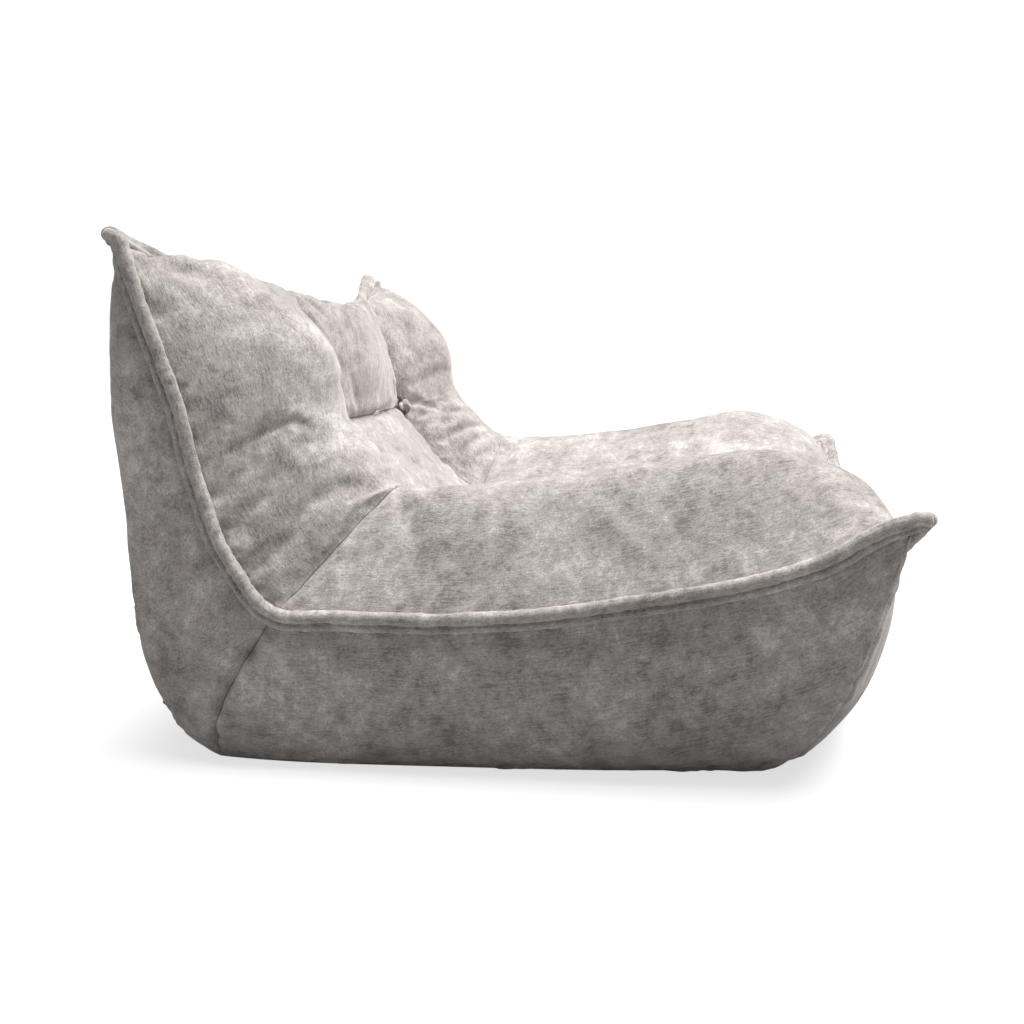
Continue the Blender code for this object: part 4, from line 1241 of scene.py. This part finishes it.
    def _base(self, hem_line: Points, hem_normal: Points, finish: bpy.types.Material) -> None:
        """The base panel: its rolled-up rim and its flat face on the floor."""
        s, f = self.sheet, self.form
        around = s.first[:-1]
        hems = np.array([f.hem(a % f.around) for a in around])
        shares = np.linspace(0, 1, self.rim_rows + 1)
        rim = f.lower(around, hems[:, None] + (1 - hems[:, None]) * shares[None, :])
        shift = (hem_line[:-1] - rim[:, 0])
        rim += shift[:, None] * (1 - shares)[None, :, None] ** 1.5
        rear = ((around % f.around > f.top_start) | (around % f.around < 0.01)).astype(float)
        length = arc_lengths(rim, 1)
        gap = self._edge(rim[:, 0]) * rear + 0.0004 * (1 - rear)
        total = length[:, -1]
        for k in range(len(rim)):
            places = gap[k] + length[k] * (1 - gap[k] / total[k])
            for axis in range(3):
                rim[k, :, axis] = np.interp(places, length[k], rim[k, :, axis].copy())
        floor = rim[:, -1]
        centre = floor.mean(axis=0)
        rings = [rim[:, k] for k in range(rim.shape[1])]
        rings += [centre + (floor - centre) * share for share in (0.93, 0.8, 0.6, 0.4, 0.2, 0.06)]
        grid = np.array(rings).transpose(1, 0, 2)
        rows, columns = grid.shape[:2]
        verts = np.concatenate([grid.reshape(-1, 3), [centre]])
        faces = []
        for i in range(rows):
            a, b = i * columns, (i + 1) % rows * columns
            faces += [(a + j, b + j, b + j + 1, a + j + 1) for j in range(columns - 1)]
            faces.append((a + columns - 1, b + columns - 1, rows * columns))
        piece = add_mesh("base_cover", verts, faces, np.concatenate([verts[:, :2]]))
        solid = piece.modifiers.new("cloth thickness", "SOLIDIFY")
        solid.thickness = self.cloth
        solid.offset = -1
        hang(piece, finish, [Panel.BASE.value])


@dataclass
class Flange:
    """The double roll sewn round the cover where the upper sheet meets the shell."""

    form: Form
    roll: float = 0.0088
    under_roll: float = 0.0054
    reach: float = 0.0105
    crook: tuple = (0.355, 0.262)
    step: float = 0.0022
    sides: int = 38
    top_out: tuple = (0.0, 0.62, 0.78)
    corner_rings: int = 9
    ear_swell: float = 0.22
    ear_out: tuple = (0.0, 0.80, 0.20)
    pucker: float = 0.0012
    crowding: float = 0.45
    notch: float = 0.0014

    def _outs(self) -> dict[str, Points]:
        """Which way the flange stands on each of its four stretches."""
        return {"left": np.array((1.0, 0, 0)), "front": np.array((0, -0.975, -0.22)),
                "right": np.array((-1.0, 0, 0)), "top": np.array(self.top_out)}

    def _frames(self, start: float, end: float, out: Points) -> tuple[Points, Points, Points]:
        """Points on the seam, the way out and the way up, along one stretch."""
        f = self.form
        knots = np.arange(start, end + 0.5)
        lengths = np.linalg.norm(np.diff(f.flange(knots), axis=0), axis=1)
        around = subdivided(list(knots), list(lengths), self.step)
        points = f.flange(around)
        along = np.gradient(points, axis=0)
        along[0] = points[1] - points[0]
        along /= np.linalg.norm(along, axis=1, keepdims=True)
        if out[2] > 0:
            ends = np.minimum(np.arange(len(points)), np.arange(len(points))[::-1]) * self.step
            near = np.exp(-(ends / 0.10) ** 2)[:, None]
            out = out * (1 - near) + np.array(self.ear_out) * near
        outs = out - along * (along * out).sum(axis=1, keepdims=True)
        outs /= np.linalg.norm(outs, axis=1, keepdims=True)
        ups = np.cross(along, outs)
        middle = len(points) // 2
        across, row = f.flange_place(around[middle] % f.around)
        inner = f.upper([across * 0.96], [row + (0.2 if row < 1 else -0.2)])[0, 0]
        below = f.lower(np.array([around[middle]]), np.array([[0.05]]))[0, 0]
        if ups[middle] @ (inner - below) < 0:
            ups = -ups
        return points, outs, ups

    def _section(self, wobble: Points, slim: float = 0.0) -> Points:
        """The double roll's outline, in metres out and up from the seam.

        Args:
            wobble: four small random numbers for this place.
            slim: from 0 to 1, how far the under roll draws into the upper one.

        Returns:
            sides x 2.
        """
        lobes = (
            (self.reach + wobble[0], self.roll / 2 + wobble[1], self.roll * (1 + wobble[2])),
            (self.reach - 0.0016 + wobble[0] * 0.7, -0.0098 + 0.0068 * slim + wobble[1],
             self.under_roll * (1 + wobble[3])),
            (0.0005, -0.0012, 0.0062),
        )
        middle = np.array((self.reach - 0.0018 + wobble[0], -0.0030 + wobble[1]))
        turn = np.linspace(0, 2 * math.pi, self.sides, endpoint=False) + 0.1
        angle = turn - self.crowding * np.sin(turn + 0.5)
        ray = np.stack([np.cos(angle), np.sin(angle)], axis=1)
        best = np.full(self.sides, self.notch)
        for x, y, radius in lobes:
            to = np.array((x, y)) - middle
            along = ray @ to
            room = radius ** 2 - (to @ to - along ** 2)
            best = np.maximum(best, np.where(room > 0, along + np.sqrt(np.maximum(room, 0)), 0))
        return middle + ray * best[:, None]

    def build(self) -> None:
        """Lays the rings of all four stretches and of the rounded corners between them."""
        f = self.form
        spans = {"left": (0, f.last_row), "front": (f.last_row, f.right_start),
                 "right": (f.right_start, f.top_start), "top": (f.top_start, f.around)}
        outs = self._outs()
        frames = {side: self._frames(a, b, outs[side]) for side, (a, b) in spans.items()}
        order = list(spans)
        self.runs = {}
        run = 0.0
        for k, side in enumerate(order):
            before, after = frames[order[k - 1]], frames[order[(k + 1) % 4]]
            own = frames[side]
            joined = [self._half_corner(own, before, 0), own, self._half_corner(own, after, -1)]
            points, out, up = (np.concatenate([part[i] for part in joined]) for i in range(3))
            self.runs[side] = (points, out, up, run)
            run += 1.7

    def _half_corner(self, own: tuple, other: tuple, end: int) -> tuple[Points, Points, Points]:
        """Frames that turn from halfway round a corner to a stretch's end, or from it.

        Args:
            own: the stretch's frames.
            other: the neighbouring stretch's frames.
            end: 0 for the stretch's start, -1 for its end.

        Returns:
            Points, ways out and ways up.
        """
        facing = -1 if end == 0 else 0
        point = own[0][end]
        shares = np.linspace(0.5, 0, self.corner_rings, endpoint=False)
        if end == -1:
            shares = shares[::-1]
        out = turned(own[1][end], other[1][facing], shares)
        up = turned(own[2][end], other[2][facing], shares)
        up -= out * (up * out).sum(axis=1, keepdims=True)
        up /= np.linalg.norm(up, axis=1, keepdims=True)
        return np.repeat(point[None], len(shares), axis=0), out, up

    def _puckers(self, points: Points, run: Points, rng: np.random.Generator) -> Points:
        """Depth of the grooves that cross the roll, deepest where it bends at the crooks.

        Args:
            points: the seam's points.
            run: lengths along the roll.
            rng: the random numbers.

        Returns:
            Depths in metres.
        """
        depth = np.zeros_like(run)
        at = 0.02
        while at < run[-1] - 0.02:
            k = int(np.searchsorted(run, at))
            gap = np.linalg.norm(points[k, 1:] - np.array(self.crook), axis=0)
            strong = math.exp(-(gap / 0.085) ** 2)
            size = self.pucker * (0.15 + strong) * rng.uniform(0.4, 1.0)
            depth += size * np.exp(-((run - at) / 0.0022) ** 2)
            at += rng.uniform(0.008, 0.014) * (1 + 1.6 * (1 - strong))
        return depth

    def dress(self, finish: bpy.types.Material) -> None:
        """Skins each stretch and hands it in."""
        for side, (points, out, up, offset) in self.runs.items():
            centre = points + out * self.reach
            run = np.concatenate([[0], np.cumsum(np.linalg.norm(np.diff(centre, axis=0), axis=1))])
            ends = np.minimum(run, run[-1] - run)
            fade = np.clip(ends / 0.05, 0, 1)
            rng = np.random.default_rng(int(offset * 10) + 40)
            wobble = np.stack([
                wavy(run, 0.11, rng) * 0.0011 * fade + wavy(run, 0.021, rng) * 0.0003 * fade,
                wavy(run, 0.13, rng) * 0.0013 * fade + wavy(run, 0.024, rng) * 0.0003 * fade,
                wavy(run, 0.05, rng) * 0.05 + wavy(run, 0.014, rng) * 0.035,
                wavy(run, 0.045, rng) * 0.07 + wavy(run, 0.012, rng) * 0.06], axis=1)
            wobble[:, 2] -= self._puckers(points, run, rng) / self.roll
            wobble[:, 3] -= self._puckers(points, run, rng) * 0.5 / self.under_roll
            rings = []
            at_start, at_end = {"left": (1, 0.7), "right": (0.7, 1), "top": (1, 1), "front": (0.7, 0.7)}[side]
            full = 1 + self.ear_swell * (at_start * np.exp(-(run / 0.07) ** 2)
                                         + at_end * np.exp(-((run[-1] - run) / 0.07) ** 2))
            for k in range(len(points)):
                slim = (full[k] - 1) / self.ear_swell
                section = self._section(wobble[k], slim) * (full[k], full[k] ** 0.5)
                rings.append(points[k] + section[:, :1] * out[k] + section[:, 1:] * up[k])
            grid = np.array(rings)
            rows, sides = grid.shape[:2]
            verts = np.concatenate([grid.reshape(-1, 3), grid[[0, -1]].mean(axis=1)])
            faces = []
            for i in range(rows - 1):
                for k in range(sides):
                    a, b = i * sides + k, i * sides + (k + 1) % sides
                    faces.append((a, b, b + sides, a + sides))
            for k in range(sides):
                n = (k + 1) % sides
                faces.append((rows * sides, n, k))
                faces.append((rows * sides + 1, (rows - 1) * sides + k, (rows - 1) * sides + n))
            around = np.linspace(0, 0.09, sides)
            uv = np.stack([np.repeat(run, sides) + offset, np.tile(around, rows)], axis=1)
            uv = np.concatenate([uv, [[run[0] + offset, 0], [run[-1] + offset, 0]]])
            piece = add_mesh(f"flange_{side}", verts, faces, uv)
            outward(piece)
            hang(piece, finish,
                 [f"flange_sleeve_{side}", f"flange_fold_{side}", f"flange_cord_{side}"])


def turned(first: Points, second: Points, shares: Points) -> Points:
    """Unit vectors between two, by shares of the angle from the first to the second."""
    angle = math.acos(float(np.clip(first @ second, -1, 1)))
    if angle < 1e-4:
        return np.repeat(first[None], len(shares), axis=0)
    start, end = np.sin((1 - shares) * angle), np.sin(shares * angle)
    return (start[:, None] * first + end[:, None] * second) / math.sin(angle)


def wavy(run: Points, wave: float, rng: np.random.Generator) -> Points:
    """A smooth random line, about -1 to 1.

    Args:
        run: lengths along it.
        wave: its usual wavelength.
        rng: the random numbers.

    Returns:
        The values.
    """
    total = np.zeros_like(run)
    for _ in range(6):
        total += np.sin(2 * math.pi * run / (wave * rng.uniform(0.7, 1.8)) + rng.uniform(0, 6.28))
    return total / 3.5


def outward(piece: bpy.types.Object) -> None:
    """Turns a closed mesh's faces outwards."""
    bm = bmesh.new()
    bm.from_mesh(piece.data)
    bmesh.ops.recalc_face_normals(bm, faces=bm.faces)
    bm.to_mesh(piece.data)
    bm.free()


@dataclass
class Tufts:
    """The two covered buttons at the ends of the back's seam."""

    form: Form
    radius: float = 0.0085
    height: float = 0.0055
    stand: float = -0.0095
    sides: int = 40

    def build(self) -> None:
        """Makes each button at the end of the back's level seam."""
        f = self.form
        self.pieces = {}
        for side, sign in (("left", 1), ("right", -1)):
            point = f.upper([sign * f.across[1]], [f.seam_row])[0, 0]
            patch = f.upper(np.array([sign * f.across[1] - 0.04, sign * f.across[1] + 0.04]),
                            np.array([f.seam_row - 0.2, f.seam_row + 0.2])).transpose(1, 0, 2)
            normal = np.cross(patch[1, 0] - patch[0, 1], patch[1, 1] - patch[0, 0])
            normal /= np.linalg.norm(normal)
            if normal[1] > 0:
                normal = -normal
            self.pieces[side] = self._button(side, point, Vector(normal))

    def _button(self, side: str, point: Points, normal: Vector) -> bpy.types.Object:
        """One button: a domed disc whose cloth is gathered at its rim."""
        profile = [(0.0, 1.0), (0.3, 0.985), (0.55, 0.92), (0.76, 0.78), (0.92, 0.55),
                   (1.0, 0.28), (0.97, 0.06), (0.86, -0.08), (0.6, -0.16), (0.0, -0.16)]
        turn = normal.to_track_quat("Z", "Y")
        verts = [Vector((0, 0, self.height))]
        for radius, height in profile[1:-1]:
            for k in range(self.sides):
                a = 2 * math.pi * k / self.sides
                crimp = 1 + 0.035 * math.sin(a * 10) * radius ** 3
                verts.append(Vector((math.cos(a) * radius * self.radius * crimp,
                                     math.sin(a) * radius * self.radius * crimp, height * self.height)))
        verts.append(Vector((0, 0, profile[-1][1] * self.height)))
        centre = Vector(point) + normal * self.stand
        placed = np.array([centre + turn @ v for v in verts])
        rings, n = len(profile) - 2, self.sides
        faces = [(0, 1 + k, 1 + (k + 1) % n) for k in range(n)]
        for r in range(rings - 1):
            a = 1 + r * n
            faces += [(a + k, a + n + k, a + n + (k + 1) % n, a + (k + 1) % n) for k in range(n)]
        a, last = 1 + (rings - 1) * n, len(verts) - 1
        faces += [(a + k, last, a + (k + 1) % n) for k in range(n)]
        uv = np.array([(v.x, v.y) for v in verts]) + 0.4
        piece = add_mesh(f"button_{side}", placed, faces, uv)
        outward(piece)
        return piece

    def dress(self, finish: bpy.types.Material) -> None:
        """Hands the buttons in."""
        for side, piece in self.pieces.items():
            hang(piece, finish, [f"tuft_button_{side}", f"tuft_cord_{side}"])


class Nodes:
    """A Geometry Nodes tree being built, with its named inputs."""

    def __init__(self, name: str, inputs: dict[str, str]) -> None:
        """Starts a tree.

        Args:
            name: the tree's name.
            inputs: socket types by input name.
        """
        self.tree = bpy.data.node_groups.new(name, "GeometryNodeTree")
        self.ids = {}
        for label, kind in inputs.items():
            socket = self.tree.interface.new_socket(label, in_out="INPUT", socket_type=kind)
            self.ids[label] = socket.identifier
        self.tree.interface.new_socket("Geometry", in_out="OUTPUT", socket_type="NodeSocketGeometry")
        self.entry = self.tree.nodes.new("NodeGroupInput")
        self.exit = self.tree.nodes.new("NodeGroupOutput")

    def add(self, kind: str, settings: dict | None = None, **sockets: object) -> bpy.types.Node:
        """Adds a node; a socket is fed by a value, a node, or (node, output name)."""
        node = self.tree.nodes.new(kind)
        for key, value in (settings or {}).items():
            setattr(node, key, value)
        for key, value in sockets.items():
            slot = node.inputs[key.replace("_", " ")]
            if isinstance(value, bpy.types.Node):
                self.tree.links.new(value.outputs[0], slot)
            elif isinstance(value, tuple) and isinstance(value[0], bpy.types.Node):
                self.tree.links.new(value[0].outputs[value[1]], slot)
            else:
                slot.default_value = value
        return node

    def make(self, name: str, result: bpy.types.Node, values: dict[str, object]) -> bpy.types.Object:
        """Runs the tree once and returns its result as a plain mesh object.

        Args:
            name: the new object's name.
            result: the tree's last node.
            values: a value for each named input.

        Returns:
            The new object.
        """
        self.tree.links.new(result.outputs[0], self.exit.inputs[0])
        holder = bpy.data.objects.new(name + "_maker", bpy.data.meshes.new(name))
        bpy.context.scene.collection.objects.link(holder)
        modifier = holder.modifiers.new("maker", "NODES")
        modifier.node_group = self.tree
        for label, value in values.items():
            modifier[self.ids[label]] = value
        graph = bpy.context.evaluated_depsgraph_get()
        mesh = bpy.data.meshes.new_from_object(holder.evaluated_get(graph))
        bpy.data.objects.remove(holder, do_unlink=True)
        piece = bpy.data.objects.new(name, mesh)
        bpy.context.scene.collection.objects.link(piece)
        return piece


@dataclass
class Zip:
    """The zip under the back's hem: teeth, stitches and the dressing of its metal parts."""

    middle: tuple = (0.0, 0.48188, 0.044448)
    down: tuple = (0.0, -0.607933, -0.793988)
    outward: tuple = (0.0, 0.793988, -0.607933)
    half_length: float = 0.2475
    pitch: float = 0.0030
    tooth_radius: float = 0.00085
    tooth_length: float = 0.0024
    tooth_height: float = -0.0047
    row_gap: float = 0.0006
    stitch_rows: tuple = (0.0075, 0.0098)
    stitch_height: float = -0.0058
    stitch_pitch: float = 0.0042
    stitch_radius: float = 0.00035
    stitch_length: float = 0.0030

    def _spot(self, x: float, y: float, z: float) -> tuple:
        """A point from its place along the zip, down from it and out of it."""
        p = np.array(self.middle) + np.array(self.down) * y + np.array(self.outward) * z
        return (float(x), float(p[1]), float(p[2]))

    def row(self, name: str, x_shift: float, y: float, z: float, pitch: float, radius: float, length: float,
            finish: bpy.types.Material, across: bool) -> bpy.types.Object:
        """A row of small rods beside the zip's middle line.

        Args:
            name: the row's name.
            x_shift: how far the row starts along the zip.
            y: how far down from the middle line.
            z: how far out.
            pitch: from rod to rod.
            radius: of a rod.
            length: of a rod.
            finish: its material.
            across: whether the rods lie across the zip instead of along it.

        Returns:
            The row's mesh object.
        """
        kinds = {"Start": "NodeSocketVector", "End": "NodeSocketVector", "Pitch": "NodeSocketFloat",
                 "Radius": "NodeSocketFloat", "Length": "NodeSocketFloat", "Turn": "NodeSocketVector",
                 "Finish": "NodeSocketMaterial"}
        g = Nodes(name, kinds)
        line = g.add("GeometryNodeCurvePrimitiveLine", Start=(g.entry, "Start"), End=(g.entry, "End"))
        spread = g.add("GeometryNodeResampleCurve", {"mode": "LENGTH"}, Curve=line, Length=(g.entry, "Pitch"))
        rod = g.add("GeometryNodeMeshCylinder", Vertices=8, Radius=(g.entry, "Radius"),
                    Depth=(g.entry, "Length"))
        rods = g.add("GeometryNodeInstanceOnPoints", Points=spread, Instance=rod,
                     Rotation=(g.entry, "Turn"))
        solid = g.add("GeometryNodeRealizeInstances", Geometry=rods)
        done = g.add("GeometryNodeSetMaterial", Geometry=solid, Material=(g.entry, "Finish"))
        axis = Vector(self.down) if across else Vector((1, 0, 0))
        turn = axis.to_track_quat("Z", "Y").to_euler()
        return g.make(name, done, {
            "Start": self._spot(-self.half_length + x_shift, y, z), "End": self._spot(self.half_length, y, z),
            "Pitch": pitch, "Radius": radius, "Length": length, "Turn": tuple(turn), "Finish": finish})

    def dress(self, teeth: bpy.types.Material, thread: bpy.types.Material) -> None:
        """Makes the rows of teeth and stitches.

        Args:
            teeth: the teeth's finish.
            thread: the stitches' finish.
        """
        for side, sign in (("upper", -1), ("lower", 1)):
            middle = sign * (self.row_gap + self.tooth_length / 2)
            shift = self.pitch / 2 * (sign + 1) / 2
            row = self.row(f"zip_row_{side}", shift, middle, self.tooth_height, self.pitch,
                           self.tooth_radius, self.tooth_length, teeth, True)
            hang(row, teeth, [f"zip_teeth_{side}"])
            for number, away in enumerate(self.stitch_rows):
                seam = self.row(f"zip_stitches_{side}_{number}", 0.001 * number, sign * away,
                                self.stitch_height, self.stitch_pitch, self.stitch_radius,
                                self.stitch_length, thread, False)
                hang(seam, thread, [])


# ---------------------------------------------------------------- studio


@dataclass
class Studio:
    """Camera, lights and floor."""

    eye: tuple = (-1.892, -0.269, 0.582)
    look: tuple = (0.978, 0.136, -0.156)
    lens: float = 38.46
    shift: float = -0.039
    overhead: float = 4.7
    overhead_spread: float = 50.0
    overhead_from: tuple = (0.10, -0.24, 1.0)
    top_power: float = 48.0
    fill_power: float = 6.5
    top_place: tuple = (0.3, -0.7, 2.3)
    fill_place: tuple = (-2.0, 1.6, 0.6)
    floor_glow: float = 0.70
    floor_shade: float = 0.36
    room_light: float = 0.14
    backdrop: float = 1.05

    def camera(self) -> None:
        """Sets the camera."""
        data = bpy.data.cameras.new("camera")
        data.lens = self.lens
        data.sensor_width = 36.0
        data.shift_x = self.shift
        data.clip_start = 0.05
        obj = bpy.data.objects.new("camera", data)
        obj.location = self.eye
        obj.rotation_euler = Vector(self.look).to_track_quat("-Z", "Y").to_euler()
        bpy.context.scene.collection.objects.link(obj)
        bpy.context.scene.camera = obj

    def lamp(self, name: str, power: float, size: float, place: tuple, target: tuple) -> None:
        """Adds a soft square lamp.

        Args:
            name: its name.
            power: in watts.
            size: of its side.
            place: where it hangs.
            target: where it points.
        """
        data = bpy.data.lights.new(name, "AREA")
        data.energy = power
        data.size = size
        data.color = (1.0, 0.985, 0.97)
        obj = bpy.data.objects.new(name, data)
        obj.location = place
        obj.rotation_euler = (Vector(target) - Vector(place)).to_track_quat("-Z", "Y").to_euler()
        bpy.context.scene.collection.objects.link(obj)

    def sky(self) -> None:
        """Adds the even light from overhead."""
        data = bpy.data.lights.new("overhead", "SUN")
        data.energy = self.overhead
        data.angle = math.radians(self.overhead_spread)
        obj = bpy.data.objects.new("overhead", data)
        obj.rotation_euler = Vector(self.overhead_from).to_track_quat("Z", "Y").to_euler()
        bpy.context.scene.collection.objects.link(obj)

    def floor(self) -> None:
        """Adds the pale floor, lifted a little for the camera so that it runs into the backdrop."""
        corners = [(-9, -9, -0.001), (9, -9, -0.001), (9, 9, -0.001), (-9, 9, -0.001)]
        floor = add_mesh("floor", np.array(corners), [(0, 1, 2, 3)])
        material = bpy.data.materials.new("pale floor")
        material.use_nodes = True
        tree = material.node_tree
        surface = tree.nodes["Principled BSDF"]
        surface.inputs["Base Color"].default_value = (*[self.floor_shade] * 3, 1)
        surface.inputs["Roughness"].default_value = 0.95
        surface.inputs["Specular IOR Level"].default_value = 0.0
        glow = tree.nodes.new("ShaderNodeEmission")
        glow.inputs["Strength"].default_value = self.floor_glow
        path = tree.nodes.new("ShaderNodeLightPath")
        dark = tree.nodes.new("ShaderNodeEmission")
        dark.inputs["Strength"].default_value = 0.0
        chosen = tree.nodes.new("ShaderNodeMixShader")
        both = tree.nodes.new("ShaderNodeAddShader")
        tree.links.new(path.outputs["Is Camera Ray"], chosen.inputs[0])
        tree.links.new(dark.outputs[0], chosen.inputs[1])
        tree.links.new(glow.outputs[0], chosen.inputs[2])
        tree.links.new(chosen.outputs[0], both.inputs[0])
        tree.links.new(surface.outputs[0], both.inputs[1])
        tree.links.new(both.outputs[0], tree.nodes["Material Output"].inputs[0])
        floor.data.materials.append(material)

    def build(self) -> None:
        """Builds the studio."""
        self.camera()
        self.sky()
        self.lamp("top softbox", self.top_power, 2.2, self.top_place, (0, -0.05, 0.3))
        self.lamp("side fill", self.fill_power, 2.4, self.fill_place, (0, 0.1, 0.25))
        scene = bpy.context.scene
        scene.view_settings.view_transform = "Standard"
        world = bpy.data.worlds.new("studio")
        scene.world = world
        world.use_nodes = True
        tree = world.node_tree
        room = tree.nodes["Background"]
        room.inputs["Color"].default_value = (1, 1, 1, 1)
        room.inputs["Strength"].default_value = self.room_light
        seen = tree.nodes.new("ShaderNodeBackground")
        seen.inputs["Color"].default_value = (1, 1, 1, 1)
        seen.inputs["Strength"].default_value = self.backdrop
        path = tree.nodes.new("ShaderNodeLightPath")
        mix = tree.nodes.new("ShaderNodeMixShader")
        tree.links.new(path.outputs["Is Camera Ray"], mix.inputs[0])
        tree.links.new(room.outputs[0], mix.inputs[1])
        tree.links.new(seen.outputs[0], mix.inputs[2])
        tree.links.new(mix.outputs[0], tree.nodes["World Output"].inputs[0])
        self.floor()


def dress_frame(frame: dict) -> None:
    """Gives the frame's own visible and inner nodes their finishes.
    """
    liner = PlainCloth("liner_cloth", (0.62, 0.60, 0.56), 1400).material()
    strip = PlainCloth("port_strip", (0.30, 0.30, 0.31), 1000).material()
    fill = PlainCloth("bead_fill", (0.86, 0.86, 0.84), 260, 0.6).material()
    cotton = PlainCloth("cotton_cord", (0.60, 0.55, 0.47), 2400).material()
    plastic = PlainCloth("anchor_plastic", (0.20, 0.19, 0.18), 90, 0.42).material()
    tape = PlainCloth("zip_tape", (0.13, 0.12, 0.115), 2200).material()
    metal = Metal().material()
    finishes = {"liner_bag": liner, "liner_port_strip": strip, "bead_fill": fill,
                "tuft_anchor_left": plastic, "tuft_anchor_right": plastic,
                "zip_tape_upper": tape, "zip_tape_lower": tape,
                "zip_stop_closed": metal, "zip_stop_open": metal, "zip_slider": metal, "zip_pull": metal}
    for name, finish in finishes.items():
        node = frame["nodes"][name]
        node.data.materials.clear()
        node.data.materials.append(finish)
        LOG.info("%s: the frame's own solid, finished as %s", name, finish.name)


def main() -> None:
    """Builds the chair and the studio round it."""
    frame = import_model()
    Studio().build()
    form = Form()
    chenille = Chenille().material()
    # the base's chenille, with weaker painted sheen on its slub yarns
    base_cloth = Chenille(name="base_chenille", slub_sheen_amount=0.6).material()
    upper = UpperCover(form)
    upper.build()
    upper.dress(chenille)
    lower = LowerCover(form)
    lower.build()
    lower.dress(chenille, base_cloth)
    flange = Flange(form)
    flange.build()
    flange.dress(chenille)
    tufts = Tufts(form)
    tufts.build()
    tufts.dress(chenille)
    Zip().dress(Metal("zip_teeth", (0.11, 0.105, 0.10)).material(),
                PlainCloth("thread", (0.34, 0.32, 0.30), 3000).material())
    dress_frame(frame)


if __name__ == "__main__":
    main()
